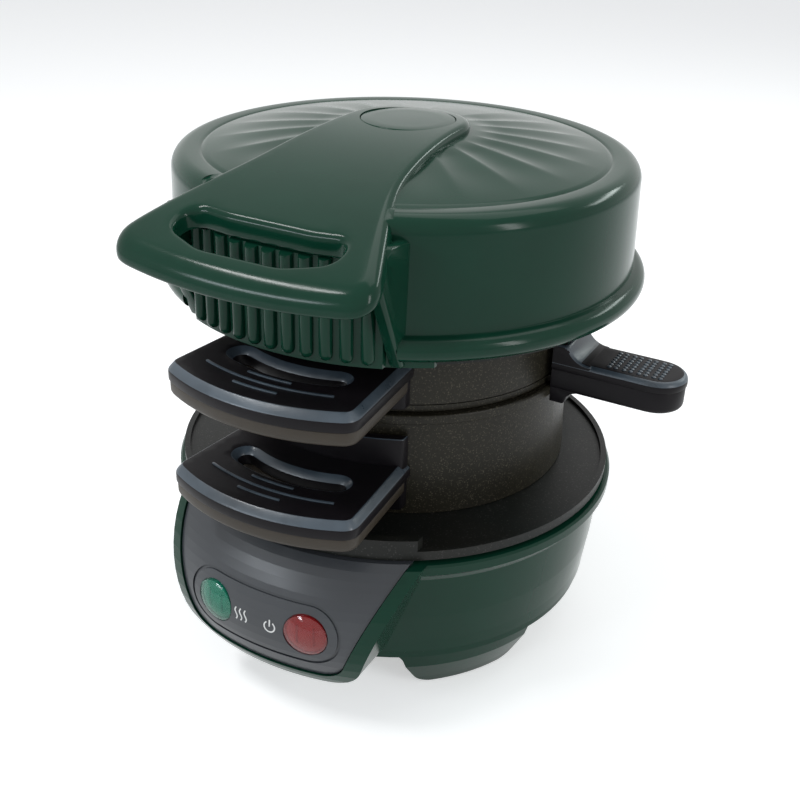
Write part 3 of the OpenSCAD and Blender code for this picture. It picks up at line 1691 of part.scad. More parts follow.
module lid_hinge_bracket()
  color(black) in_frame()
    difference() {
      union() {
        side_prism(-lid_arm_x - lid_arm_w, lid_arm_x + lid_arm_w)
          polygon(rounded(
            [
              [lid_y + lid_r - bracket_in, lid_z - bracket_low / 4],
              [bracket_y, lid_z - bracket_low / 4],
              [bracket_y - bracket_lean, lid_z + bracket_high],
              [lid_y + lid_r - bracket_in, lid_z + bracket_high]
            ],
            [0, bracket_foot_round, bracket_round, 0]
          ));
        for (s = [-1, 1]) {
          x0 = s > 0 ? lid_arm_x : -lid_arm_x - lid_arm_w;
          knuckle(x0, x0 + lid_arm_w);
          side_prism(x0, x0 + lid_arm_w)
            polygon([
              [hinge_y - knuckle_r, hinge_z],
              [hinge_y + knuckle_r, hinge_z],
              [bracket_y + bracket_over, lid_z - bracket_low],
              [bracket_y, lid_z],
              [hinge_y - knuckle_r * 1.7, lid_z],
              [hinge_y - knuckle_r * 1.7, lid_z - bracket_low]
            ]);
        }
      }
      knuckle_bore();
      about_lid() {
        translate([0, 0, -cut])
          rotate_extrude()
            polygon(concat(
              [
                [0, lid_z - up_plate_lip - bracket_cut_low],
                [flange_r + bracket_gap, lid_z - up_plate_lip - bracket_cut_low]
              ],
              [
                for (p = lid_side)
                  if (p.y > lid_z + flange_low / 2)
                    p + [bracket_gap, p.y > lid_z + flange_mid ? cut : 0]
              ],
              [[0, shoulder_z + 3 * cut]]
            ));
      }
      for (s = [-1, 1])
        translate([s * bracket_screw_x, 0, lid_z + bracket_screw_z]) rotate([-90, 0, 0]) {
          cylinder(r = screw_r + side_gap, h = base_r * 2);
          translate([0, 0, bracket_y - bracket_head_in])
            cylinder(r = screw_head_r + side_gap, h = base_r);
        }
    }

module lid_bracket_screws()
  color(steel) in_frame()
    for (s = [-1, 1])
      translate([s * bracket_screw_x, bracket_y - bracket_head_in, lid_z + bracket_screw_z])
        rotate([90, 0, 0]) screw(bracket_y - lid_y - lid_r + bracket_screw_reach);

module lid_wiring()
  color("dimgray") in_frame() about_lid() {
    top = up_plate_z + up_plate_t;
    turn = (360 - element_deg) / 2 + terminal_deg;
    for (s = [-1, 1])
      wire([
        [s * stat_r / 2, 0, top + stat_h + terminal_l / 2 + wire_r * 1.3],
        [s * stat_r, up_element_r / 3, top + pillar_h + wire_rise],
        [
          s * up_element_r * sin(turn),
          up_element_r * cos(turn),
          top + 2 * tube_r + terminal_l + wire_r
        ]
      ]);
  }

base_housing();
base_bottom_cover();
foot_pads();
control_panel();
preheat_lens();
power_lens();
indicator_lamps();
lamp_sockets();
lower_plate();
lower_element();
lower_thermostat();
thermal_fuse();
base_heat_shield();
base_cover_screws();
lower_plate_screws();
hinge_pin();
hinge_clips();
cord_gland();
terminal_block();
base_wiring();
lower_ring();
lower_hinge_bracket();
lower_ring_rivets();
lower_handle_top();
lower_handle_bottom();
lower_handle_screws();
upper_ring();
upper_hinge_bracket();
upper_ring_rivets();
upper_handle_top();
upper_handle_bottom();
upper_handle_screws();
plate_pivot();
cooking_plate();
plate_handle_top();
plate_handle_bottom();
plate_handle_screws();
lid_shell();
lid_grille();
badge_disc();
upper_plate();
upper_element();
upper_thermostat();
lid_heat_shield();
lid_screws();
lid_hinge_bracket();
lid_bracket_screws();
lid_wiring();
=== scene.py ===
"""The looks of the electric burger press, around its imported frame. Lengths are in metres."""

import json
import math

import bmesh
import bpy
from mathutils import Matrix, Vector
from mathutils.geometry import delaunay_2d_cdt


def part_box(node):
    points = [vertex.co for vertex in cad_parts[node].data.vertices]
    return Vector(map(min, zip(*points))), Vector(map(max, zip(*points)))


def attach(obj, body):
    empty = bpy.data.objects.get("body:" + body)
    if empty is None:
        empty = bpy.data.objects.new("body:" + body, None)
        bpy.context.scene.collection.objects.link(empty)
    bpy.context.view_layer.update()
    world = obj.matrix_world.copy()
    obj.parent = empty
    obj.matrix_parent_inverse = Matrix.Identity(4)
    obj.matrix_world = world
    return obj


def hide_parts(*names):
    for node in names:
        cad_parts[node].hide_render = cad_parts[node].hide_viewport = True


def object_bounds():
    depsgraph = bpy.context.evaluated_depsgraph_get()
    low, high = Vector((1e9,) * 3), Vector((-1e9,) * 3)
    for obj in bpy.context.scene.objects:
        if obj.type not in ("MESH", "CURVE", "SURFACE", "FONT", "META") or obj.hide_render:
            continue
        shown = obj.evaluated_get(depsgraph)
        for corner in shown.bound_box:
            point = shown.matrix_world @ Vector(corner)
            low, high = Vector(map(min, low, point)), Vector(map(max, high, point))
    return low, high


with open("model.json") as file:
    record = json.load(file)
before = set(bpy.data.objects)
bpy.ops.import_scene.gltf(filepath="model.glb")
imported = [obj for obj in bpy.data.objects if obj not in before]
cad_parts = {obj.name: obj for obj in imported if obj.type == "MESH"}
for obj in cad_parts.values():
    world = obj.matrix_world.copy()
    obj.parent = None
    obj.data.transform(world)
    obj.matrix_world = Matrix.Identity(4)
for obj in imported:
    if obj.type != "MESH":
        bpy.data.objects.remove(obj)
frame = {"nodes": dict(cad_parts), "record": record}
nodes = frame["nodes"]
cad_low, cad_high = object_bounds()

# A millimetre, in which the small sizes below are given
MM = 0.001


def middle(node):
    low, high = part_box(node)
    return (low + high) / 2


BASE_AXIS = middle("lower_plate")
LID_AXIS = middle("upper_plate")

# CAMERA, at the photograph's view

# Pixels of the photograph, and the sensor's width in millimetres
PHOTO_SIDE = 800
FOCAL_PX = 1094.35
SENSOR_W = 36
CAM_AZ = math.radians(28.107)
CAM_EL = math.radians(27.575)
CAM_ROLL = math.radians(1.839)
CAM_PLACE = Vector((144.35, -284.0, 241.0)) * MM


def add_camera():
    back = Vector((
        math.sin(CAM_AZ) * math.cos(CAM_EL),
        -math.cos(CAM_AZ) * math.cos(CAM_EL),
        math.sin(CAM_EL),
    ))
    level = Vector((math.cos(CAM_AZ), math.sin(CAM_AZ), 0))
    upright = back.cross(level)
    right = math.cos(CAM_ROLL) * level + math.sin(CAM_ROLL) * upright
    up = math.cos(CAM_ROLL) * upright - math.sin(CAM_ROLL) * level
    data = bpy.data.cameras.new("camera")
    data.sensor_width = SENSOR_W
    data.lens = SENSOR_W * FOCAL_PX / PHOTO_SIDE
    data.clip_start = 0.01
    data.clip_end = 20
    camera = bpy.data.objects.new("camera", data)
    turn = Matrix((right, up, back)).transposed().to_4x4()
    camera.matrix_world = Matrix.Translation(CAM_PLACE) @ turn
    bpy.context.scene.collection.objects.link(camera)
    bpy.context.scene.camera = camera


# MATERIALS

# A noise mixes its two colours between these values, and is this rough
NOISE_LOW = 0.3
NOISE_HIGH = 0.7
NOISE_ROUGH = 0.55
FINE_DETAIL = 3.0
CLOUD_SCALE = 35.0
STREAK_SCALE = 140.0
STREAK_DETAIL = 6.0
GRAIN_STRENGTH = 0.6
FLAKE_CLOUD_SCALE = 40.0
FLAKE_STRENGTH = 0.5
FLAKE_SPECULAR = 0.2
LINE_SQUEEZE = 0.05
LINE_DETAIL = 5.0
LINE_STRENGTH = 0.3
METAL_GRAIN = 0.02 * MM
LENS_CLOUD_SCALE = 160.0
LENS_COAT = 0.6
LENS_COAT_ROUGH = 0.03
# Heights between which a reflector's colour changes, and its pale flecks
FADE_LOW = 31 * MM
FADE_HIGH = 40 * MM
FLECK = (0.9, 0.95, 0.9)
FLECK_SCALE = 260.0
FLECK_RANGE = (0.4, 0.75)
FLECK_SHARE = 0.12
REFLECTOR_ROUGH = 0.35


def fill(tree, node, inputs):
    """Sets each named input of a node, or links it where an output is given."""
    for name, value in inputs.items():
        if isinstance(value, bpy.types.NodeSocket):
            tree.links.new(value, node.inputs[name])
        else:
            node.inputs[name].default_value = value
    return node


def add_node(tree, kind, inputs):
    return fill(tree, tree.nodes.new("ShaderNode" + kind), inputs)


def new_material(name):
    material = bpy.data.materials.new(name)
    material.use_nodes = True
    tree = material.node_tree
    tree.nodes.clear()
    shader = tree.nodes.new("ShaderNodeBsdfPrincipled")
    add_node(tree, "OutputMaterial", {"Surface": shader.outputs["BSDF"]})
    return material, tree, shader


def texture_place(tree):
    return tree.nodes.new("ShaderNodeTexCoord").outputs["Object"]


def noise(tree, place, scale, detail=4.0):
    return add_node(tree, "TexNoise", {
        "Scale": scale, "Detail": detail, "Roughness": NOISE_ROUGH, "Vector": place,
    }).outputs["Fac"]


def map_range(tree, value, low, high, to_low, to_high):
    return add_node(tree, "MapRange", {
        "Value": value, "From Min": low, "From Max": high, "To Min": to_low, "To Max": to_high,
    }).outputs["Result"]


def spread(tree, value, to_low=0, to_high=1):
    """A noise, stretched to run from one value to another."""
    return map_range(tree, value, NOISE_LOW, NOISE_HIGH, to_low, to_high)


def mix_colour(tree, factor, first, second):
    node = tree.nodes.new("ShaderNodeMix")
    node.data_type = "RGBA"
    first, second = [(*c, 1) if isinstance(c, tuple) else c for c in (first, second)]
    return fill(tree, node, {0: factor, 6: first, 7: second}).outputs[2]


def bump(tree, height, strength, distance):
    return add_node(tree, "Bump", {
        "Strength": strength, "Distance": distance, "Height": height,
    }).outputs["Normal"]


def worn_finish(name, dark, light, rough, grain_scale, grain_depth, specular=0.5):
    """A finish whose colour and gloss drift in soft clouds, over a fine grain."""
    material, tree, shader = new_material(name)
    place = texture_place(tree)
    grain = noise(tree, place, grain_scale, FINE_DETAIL)
    fill(tree, shader, {
        "Base Color": mix_colour(tree, spread(tree, noise(tree, place, CLOUD_SCALE)), dark, light),
        "Roughness": spread(tree, noise(tree, place, STREAK_SCALE, STREAK_DETAIL), *rough),
        "Normal": bump(tree, grain, GRAIN_STRENGTH, grain_depth),
        "Specular IOR Level": specular,
    })
    return material


def flaked_finish(name, dark, light, flake, rough, flake_scale, flake_share):
    """A non-stick coating: dark, slightly mottled, with fine bright flakes in it."""
    material, tree, shader = new_material(name)
    place = texture_place(tree)
    clouds = noise(tree, place, FLAKE_CLOUD_SCALE)
    colour = mix_colour(tree, spread(tree, clouds), dark, light)
    cells = add_node(tree, "TexVoronoi", {"Scale": flake_scale, "Vector": place})
    parts = add_node(tree, "SeparateColor", {"Color": cells.outputs["Color"]})
    flakes = map_range(tree, parts.outputs["Red"], 1 - flake_share, 1, 0, 1)
    grain = noise(tree, place, flake_scale / 2, FINE_DETAIL)
    fill(tree, shader, {
        "Base Color": mix_colour(tree, flakes, colour, flake),
        "Roughness": map_range(tree, parts.outputs["Green"], 0, 1, *rough),
        "Normal": bump(tree, grain, FLAKE_STRENGTH, METAL_GRAIN),
        "Specular IOR Level": FLAKE_SPECULAR,
    })
    return material


def turned_finish(name, dark, light, rough, line_scale, axis):
    """Bare metal with fine lines across one axis."""
    material, tree, shader = new_material(name)
    scales = tuple(1.0 if i == axis else LINE_SQUEEZE for i in range(3))
    stretch = add_node(tree, "Mapping", {"Scale": scales, "Vector": texture_place(tree)})
    lines = noise(tree, stretch.outputs["Vector"], line_scale, LINE_DETAIL)
    fill(tree, shader, {
        "Base Color": mix_colour(tree, lines, dark, light),
        "Roughness": spread(tree, lines, *rough),
        "Normal": bump(tree, lines, LINE_STRENGTH, METAL_GRAIN),
        "Metallic": 1.0,
    })
    return material


def clear_finish(name, dark, light, alpha, rough):
    """A tinted clear cover with a gloss coat, slightly mottled."""
    material, tree, shader = new_material(name)
    clouds = noise(tree, texture_place(tree), LENS_CLOUD_SCALE)
    fill(tree, shader, {
        "Base Color": mix_colour(tree, clouds, dark, light),
        "Alpha": alpha,
        "Roughness": rough,
        "Coat Weight": LENS_COAT,
        "Coat Roughness": LENS_COAT_ROUGH,
    })
    return material


def shaded_back(name, lower, upper):
    """The reflector behind a lens, paler towards its lower edge."""
    material, tree, shader = new_material(name)
    place = texture_place(tree)
    parts = add_node(tree, "SeparateXYZ", {"Vector": place})
    height = map_range(tree, parts.outputs["Z"], FADE_LOW, FADE_HIGH, 0, 1)
    colour = mix_colour(tree, height, lower, upper)
    flecks = map_range(tree, noise(tree, place, FLECK_SCALE), *FLECK_RANGE, 0, FLECK_SHARE)
    fill(tree, shader, {
        "Base Color": mix_colour(tree, flecks, colour, FLECK),
        "Roughness": REFLECTOR_ROUGH,
    })
    return material


GREEN = worn_finish(
    "green_gloss", (0.0035, 0.034, 0.019), (0.0045, 0.040, 0.023), (0.13, 0.18),
    grain_scale=900.0, grain_depth=0.002 * MM, specular=0.16,
)
PANEL = worn_finish(
    "panel_satin", (0.034, 0.038, 0.043), (0.042, 0.046, 0.052), (0.3, 0.36),
    grain_scale=2600.0, grain_depth=0.006 * MM, specular=0.45,
)
PHENOLIC = worn_finish(
    "black_phenolic", (0.0045, 0.004, 0.005), (0.008, 0.0065, 0.008), (0.34, 0.44),
    grain_scale=2200.0, grain_depth=0.02 * MM, specular=0.14,
)
# The black plastic made paler and bluer: a painted highlight, standing for the lights' reflection on
# the handles' sloping edges, raised lines and bumps
PHENOLIC_SHEEN = worn_finish(
    "phenolic_painted_sheen", (0.018, 0.027, 0.036), (0.075, 0.10, 0.125), (0.26, 0.42),
    grain_scale=900.0, grain_depth=0.06 * MM, specular=0.5,
)
PHENOLIC_BASE = worn_finish(
    "phenolic_base", (0.026, 0.020, 0.013), (0.036, 0.028, 0.019), (0.42, 0.52),
    grain_scale=2200.0, grain_depth=0.03 * MM, specular=0.35,
)
COATING = flaked_finish(
    "ring_coating", (0.010, 0.009, 0.0055), (0.019, 0.017, 0.011), (0.075, 0.067, 0.047),
    (0.34, 0.48), flake_scale=3300.0, flake_share=0.15,
)
HOT_PLATE = flaked_finish(
    "heating_plate", (0.008, 0.010, 0.009), (0.013, 0.013, 0.011), (0.05, 0.048, 0.045),
    (0.3, 0.42), flake_scale=3000.0, flake_share=0.08,
)
GREEN_LENS = clear_finish("green_lens", (0.0, 0.17, 0.10), (0.0, 0.25, 0.15), 0.5, 0.06)
RED_LENS = clear_finish("red_lens", (0.24, 0.002, 0.004), (0.33, 0.006, 0.006), 0.5, 0.06)
GREEN_BACK = shaded_back("green_reflector", (0.04, 0.36, 0.2), (0.0, 0.26, 0.15))
RED_BACK = shaded_back("red_reflector", (0.48, 0.05, 0.015), (0.3, 0.004, 0.012))
# Near-black bars on the reflector: painted shade, standing for the dark openings of its slots
LENS_SLOT_SHADE = worn_finish(
    "lens_slot_painted_shade", (0.01, 0.012, 0.010), (0.02, 0.022, 0.02), (0.5, 0.6),
    grain_scale=2400.0, grain_depth=0.01 * MM,
)
MARK = worn_finish(
    "mark_white", (0.72, 0.72, 0.70), (0.8, 0.8, 0.78), (0.45, 0.55),
    grain_scale=2400.0, grain_depth=0.004 * MM,
)

# The finish of each of the record's material slots
FINISH = {
    "green_plastic": GREEN,
    "panel_plastic": PANEL,
    "green_lens": GREEN_LENS,
    "red_lens": RED_LENS,
    "black_plastic": PHENOLIC,
    "heating_plate": HOT_PLATE,
    "ring_coating": COATING,
    "bracket_metal": worn_finish(
        "black_metal", (0.014, 0.014, 0.015), (0.024, 0.024, 0.025), (0.35, 0.5), 1800.0, METAL_GRAIN,
    ),
    "steel": turned_finish(
        "plain_steel", (0.36, 0.36, 0.37), (0.6, 0.6, 0.61), (0.22, 0.4), 2500.0, 0,
    ),
    "screw_steel": turned_finish(
        "zinc_steel", (0.42, 0.42, 0.43), (0.62, 0.62, 0.63), (0.25, 0.45), 2500.0, 2,
    ),
    "element_sheath": turned_finish(
        "element_sheath", (0.16, 0.14, 0.13), (0.32, 0.30, 0.28), (0.35, 0.5), 900.0, 2,
    ),
    "shield_sheet": turned_finish(
        "shield_sheet", (0.5, 0.5, 0.5), (0.66, 0.66, 0.66), (0.3, 0.5), 1400.0, 0,
    ),
    "ceramic": worn_finish(
        "ceramic", (0.62, 0.58, 0.47), (0.7, 0.66, 0.56), (0.4, 0.55), 1800.0, 0.02 * MM,
    ),
    "lamp_glass": clear_finish("lamp_glass", (0.6, 0.4, 0.25), (0.75, 0.5, 0.3), 0.6, 0.1),
    "wire_sleeve": worn_finish(
        "wire_sleeve", (0.10, 0.10, 0.10), (0.17, 0.17, 0.17), (0.6, 0.8), 3500.0, 0.08 * MM,
    ),
    "rubber": worn_finish(
        "rubber", (0.012, 0.012, 0.012), (0.02, 0.02, 0.02), (0.6, 0.75), 2400.0, 0.03 * MM,
    ),
}

SMOOTH_ANGLE = math.radians(32)


def set_finish(obj, material):
    obj.data.materials.clear()
    obj.data.materials.append(material)


def finish_nodes():
    for part in frame["record"]["subparts"]:
        node = nodes[part["node"]]
        set_finish(node, FINISH[part["material_slot"]])
        for face in node.data.polygons:
            face.material_index = 0


# STAGE: a pale floor and soft studio light

FLOOR_SIDE = 6.0
FLOOR_GREY = 0.8
FLOOR_DRIFT = 0.02
FLOOR_GRAIN = 60.0
FLOOR_GLOW = 0.5
FLOOR_ROUGH = 0.9
FLOOR_SPECULAR = 0.1
AMBIENT = 0.34
AMBIENT_COLOUR = (0.9, 0.95, 1.0)


def seen_directly(tree):
    """One for rays that come from the camera, or by way of gloss or glass."""
    path = tree.nodes.new("ShaderNodeLightPath")
    total = path.outputs["Is Camera Ray"]
    for name in ("Is Glossy Ray", "Is Transmission Ray"):
        most = add_node(tree, "Math", {0: total, 1: path.outputs[name]})
        most.operation = "MAXIMUM"
        total = most.outputs[0]
    return total


def add_floor():
    half = FLOOR_SIDE / 2
    mesh = bpy.data.meshes.new("floor")
    corners = [(-half, -half, 0), (half, -half, 0), (half, half, 0), (-half, half, 0)]
    mesh.from_pydata(corners, [], [(0, 1, 2, 3)])
    floor = bpy.data.objects.new("floor", mesh)
    bpy.context.scene.collection.objects.link(floor)
    material, tree, shader = new_material("floor")
    grain = noise(tree, texture_place(tree), FLOOR_GRAIN)
    near = tuple([FLOOR_GREY] * 3)
    far = tuple([FLOOR_GREY + FLOOR_DRIFT] * 3)
    fill(tree, shader, {
        "Base Color": mix_colour(tree, grain, near, far),
        "Roughness": FLOOR_ROUGH,
        "Specular IOR Level": FLOOR_SPECULAR,
        "Emission Color": (1, 1, 1, 1),
        "Emission Strength": map_range(tree, seen_directly(tree), 0, 1, 0, FLOOR_GLOW),
    })
    set_finish(floor, material)


def add_world():
    world = bpy.data.worlds.new("studio")
    bpy.context.scene.world = world
    world.use_nodes = True
    tree = world.node_tree
    tree.nodes.clear()
    light = add_node(tree, "Background", {"Color": (*AMBIENT_COLOUR, 1), "Strength": AMBIENT})
    seen = add_node(tree, "Background", {"Color": (1, 1, 1, 1), "Strength": 1})
    mix = add_node(tree, "MixShader", {
        "Fac": seen_directly(tree), 1: light.outputs[0], 2: seen.outputs[0],
    })
    add_node(tree, "OutputWorld", {"Surface": mix.outputs[0]})


# Each light's place, width, depth, power and colour
LIGHTS = {
    "key": ((-0.42, -0.36, 0.86), 0.42, 0.07, 3.6, (1, 1, 1)),
    "panel": ((-0.42, -0.80, 0.40), 0.42, 0.09, 2.2, (0.86, 0.93, 1.0)),
    "top": ((0.05, 0.35, 0.98), 0.9, 0.5, 2.4, (1, 1, 1)),
    "fill": ((0.85, -0.20, 0.40), 0.12, 0.5, 2.0, (1, 1, 1)),
    "rear": ((0.45, 0.72, 0.58), 0.5, 0.1, 1.6, (0.9, 1.0, 0.97)),
}


def add_light(name, target, place, width, depth, power, colour):
    data = bpy.data.lights.new(name, "AREA")
    data.shape = "RECTANGLE"
    data.size = width
    data.size_y = depth
    data.energy = power
    data.color = colour
    light = bpy.data.objects.new(name, data)
    light.location = place
    aim = Vector(target) - Vector(place)
    light.rotation_mode = "QUATERNION"
    light.rotation_quaternion = aim.to_track_quat("-Z", "Y")
    bpy.context.scene.collection.objects.link(light)


def add_lights():
    heart = (cad_low + cad_high) / 2
    for name, values in LIGHTS.items():
        add_light(name, heart, *values)


# MESH TOOLS

# Points closer than this are one, first in meshes and then in outlines
MERGE = 0.005 * MM
SAME_PLACE = 1e-7


def link_mesh(name, points, faces):
    mesh = bpy.data.meshes.new(name)
    mesh.from_pydata([tuple(p) for p in points], [], faces)
    work = bmesh.new()
    work.from_mesh(mesh)
    bmesh.ops.remove_doubles(work, verts=work.verts, dist=MERGE)
    bmesh.ops.recalc_face_normals(work, faces=work.faces)
    work.to_mesh(mesh)
    work.free()
    obj = bpy.data.objects.new(name, mesh)
    bpy.context.scene.collection.objects.link(obj)
    return obj


def apply_modifiers(obj):
    graph = bpy.context.evaluated_depsgraph_get()
    mesh = bpy.data.meshes.new_from_object(obj.evaluated_get(graph))
    old = obj.data
    obj.modifiers.clear()
    obj.data = mesh
    bpy.data.meshes.remove(old)
    return obj


def combine(obj, other, how):
    """Adds, cuts away or keeps what is shared with another closed mesh, which is used up."""
    modifier = obj.modifiers.new(how, "BOOLEAN")
    modifier.operation = how
    modifier.solver = "MANIFOLD"
    modifier.object = other
    apply_modifiers(obj)
    bpy.data.objects.remove(other)
    return obj


def bevel(obj, width, steps=3, angle=30):
    modifier = obj.modifiers.new("bevel", "BEVEL")
    modifier.width = width
    modifier.segments = steps
    modifier.limit_method = "ANGLE"
    modifier.angle_limit = math.radians(angle)
    modifier.use_clamp_overlap = True
    return apply_modifiers(obj)


def finish_piece(obj, body, material, slot, *replaced, angle=SMOOTH_ANGLE):
    """Smooth shading, a material, the body it rides on and the nodes it stands for."""
    obj.data.shade_smooth()
    obj.data.set_sharp_from_angle(angle=angle)
    if material:
        set_finish(obj, material)
    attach(obj, body)
    if replaced:
        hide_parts(*replaced)
    return obj


def arc(centre, radius, start, end, count):
    """Points on an arc, from one angle to another, in degrees."""
    angles = [math.radians(start + (end - start) * i / count) for i in range(count + 1)]
    return [(centre[0] + radius * math.cos(a), centre[1] + radius * math.sin(a)) for a in angles]


def rounded(corners, radii, count=8):
    """An outline whose corners are rounded, each by its own radius."""
    outline = []
    total = len(corners)
    for i, radius in enumerate(radii):
        here = Vector(corners[i])
        if radius <= 0:
            outline.append(tuple(here))
            continue
        back = (Vector(corners[i - 1]) - here).normalized()
        on = (Vector(corners[(i + 1) % total]) - here).normalized()
        half = math.acos(max(-1, min(1, back.dot(on)))) / 2
        centre = here + (back + on).normalized() * radius / math.sin(half)
        first = here + back * radius / math.tan(half) - centre
        last = here + on * radius / math.tan(half) - centre
        start = math.degrees(math.atan2(first.y, first.x))
        turn = (math.degrees(math.atan2(last.y, last.x)) - start + 540) % 360 - 180
        outline += arc(centre, radius, start, start + turn, count)
    return outline


def evenly(points, step):
    """The same closed outline, with points at even distances."""
    loop = [Vector(p) for p in points]
    loop = [p for i, p in enumerate(loop) if (p - loop[i - 1]).length > SAME_PLACE]
    lengths = [(loop[(i + 1) % len(loop)] - p).length for i, p in enumerate(loop)]
    count = max(8, round(sum(lengths) / step))
    result, at, along = [], 0, 0.0
    for k in range(count):
        goal = sum(lengths) * k / count
        while along + lengths[at] < goal:
            along += lengths[at]
            at += 1
        share = (goal - along) / lengths[at]
        result.append(loop[at].lerp(loop[(at + 1) % len(loop)], share))
    return result


def soften(points, rounds):
    """The same closed outline, with its kinks evened out."""
    for _ in range(rounds):
        count = len(points)
        points = [(points[i - 1] + 2 * p + points[(i + 1) % count]) / 4 for i, p in enumerate(points)]
    return points


def inset(outline, distances):
    """The outline moved inwards, if it runs anticlockwise, by a distance at each point."""
    moved = []
    for i, p in enumerate(outline):
        along = (outline[(i + 1) % len(outline)] - outline[i - 1]).normalized()
        moved.append(p + Vector((-along.y, along.x)) * distances[i])
    return moved


def inside(point, outline):
    """Whether a point lies within an outline."""
    odd = False
    for i, a in enumerate(outline):
        b = outline[i - 1]
        if (a.y > point.y) != (b.y > point.y):
            if point.x < (b.x - a.x) * (point.y - a.y) / (b.y - a.y) + a.x:
                odd = not odd
    return odd


def fillet(radius, count=6):
    """A rounded edge as insets and depths, from the face to the side."""
    angles = [math.radians(90 * i / count) for i in range(count + 1)]
    return [(radius * (1 - math.sin(a)), radius * (1 - math.cos(a))) for a in angles]


# The grid on a face is staggered and shifted, so that it never falls in line with an outline
GRID_PITCH = 2 * MM
GRID_SHIFT_X = 0.31
GRID_SHIFT_Y = 0.43


def cap(loops, height):
    """Triangles across a face between its loops, over a grid of points."""
    points = [p for loop in loops for p in loop]
    edges = []
    start = 0
    for loop in loops:
        edges += [(start + i, start + (i + 1) % len(loop)) for i in range(len(loop))]
        start += len(loop)
    outer = loops[0]
    xs = [p.x for p in outer]
    ys = [p.y for p in outer]
    near = [inset(outer, [GRID_PITCH / 2] * len(outer))]
    near += [inset(loop, [-GRID_PITCH / 2] * len(loop)) for loop in loops[1:]]
    for i in range(int((max(xs) - min(xs)) / GRID_PITCH) + 1):
        for j in range(int((max(ys) - min(ys)) / GRID_PITCH) + 1):
            p = Vector((
                min(xs) + (i + GRID_SHIFT_X + 0.5 * (j % 2)) * GRID_PITCH,
                min(ys) + (j + GRID_SHIFT_Y) * GRID_PITCH,
            ))
            if inside(p, near[0]) and not any(inside(p, loop) for loop in near[1:]):
                points.append(p)
    flat, _, faces, *_ = delaunay_2d_cdt(points, edges, [], 1, SAME_PLACE)
    kept = []
    for face in faces:
        centre = sum((flat[i] for i in face), Vector((0, 0))) / len(face)
        if not any(inside(centre, loop) for loop in loops[1:]):
            kept.append(tuple(face))
    return [Vector((p.x, p.y, height(p.x, p.y))) for p in flat], kept


def plate(
    name, outline, top, bottom, top_edge, bottom_edge, holes=(), hole_edge=None, scale=None,
):
    """A closed plate with shaped edges: top and bottom are heights over the plan, and an edge
    is a list of insets and depths from the face to the side. Scale, if given, sizes the top
    edge at each point of the outline."""
    points, faces, top_loops, bottom_loops = [], [], [], []
    for number, loop in enumerate([outline, *holes]):
        side = 1 if number == 0 else -1
        size = scale(loop) if scale and number == 0 else [1.0] * len(loop)
        upper = top_edge if number == 0 or hole_edge is None else hole_edge
        rings = []
        for depth_in, drop in upper:
            moved = soften(inset(loop, [side * depth_in * s for s in size]), 2)
            rings.append([Vector((p.x, p.y, top(p.x, p.y) - drop * s)) for p, s in zip(moved, size)])
        for depth_in, rise in reversed(bottom_edge):
            moved = soften(inset(loop, [side * depth_in] * len(loop)), 2)
            rings.append([Vector((p.x, p.y, bottom(p.x, p.y) + rise)) for p in moved])
        top_loops.append([p.xy for p in rings[0]])
        bottom_loops.append([p.xy for p in rings[-1]])
        for k in range(len(rings) - 1):
            start = len(points)
            count = len(loop)
            points += rings[k] + rings[k + 1]
            faces += [
                (start + i, start + (i + 1) % count, start + count + (i + 1) % count, start + count + i)
                for i in range(count)
            ]
    for loops, height in ((top_loops, top), (bottom_loops, bottom)):
        over, triangles = cap(loops, height)
        start = len(points)
        points += over
        faces += [tuple(start + i for i in face) for face in triangles]
    return link_mesh(name, points, faces)


def turned(name, profile, axis, segments=240, move=None):
    """A closed shape turned about a vertical axis, from radii and heights. A point on the axis
    closes it, and move, if given, changes each height by its place."""
    points, faces = [], []
    for i in range(segments):
        a = 2 * math.pi * i / segments
        for radius, height in profile:
            x = axis.x + radius * math.cos(a)
            y = axis.y + radius * math.sin(a)
            points.append(Vector((x, y, height + (move(radius, a, height) if move else 0))))
    count = len(profile)
    for i in range(segments):
        j = (i + 1) % segments
        for k in range(count):
            n = (k + 1) % count
            if profile[k][0] == 0 and profile[n][0] == 0:
                continue
            loop = [i * count + k, j * count + k, j * count + n, i * count + n]
            if profile[k][0] == 0:
                loop = [loop[0], loop[2], loop[3]]
            elif profile[n][0] == 0:
                loop = loop[:3]
            faces.append(tuple(loop))
    return link_mesh(name, points, faces)


def tube(name, inner, outer, low, high, axis, segments):
    """A closed ring of rectangular section, or a bar where its inner radius is zero."""
    return turned(name, [(inner, low), (outer, low), (outer, high), (inner, high)], axis, segments)


def prism(name, outline, low, high, place=lambda a, b, c: (a, b, c)):
    """A closed prism over an outline, whose corners place() sets in space."""
    count = len(outline)
    points = [place(p[0], p[1], low) for p in outline] + [place(p[0], p[1], high) for p in outline]
    faces = [tuple(range(count)), tuple(range(count, 2 * count))]
    faces += [(i, (i + 1) % count, count + (i + 1) % count, count + i) for i in range(count)]
    return link_mesh(name, points, faces)


def rectangle(middle_x, half, front, rear):
    """A plan of four corners, as wide to the left as to the right."""
    left = middle_x - half
    right = middle_x + half
    return [(left, front), (right, front), (right, rear), (left, rear)]


def in_mm(pairs):
    return [(a * MM, b * MM) for a, b in pairs]


def from_side(a, b, c):
    """Puts a side view's outline, drawn in Y and Z, in space."""
    return (c, a, b)


# LID

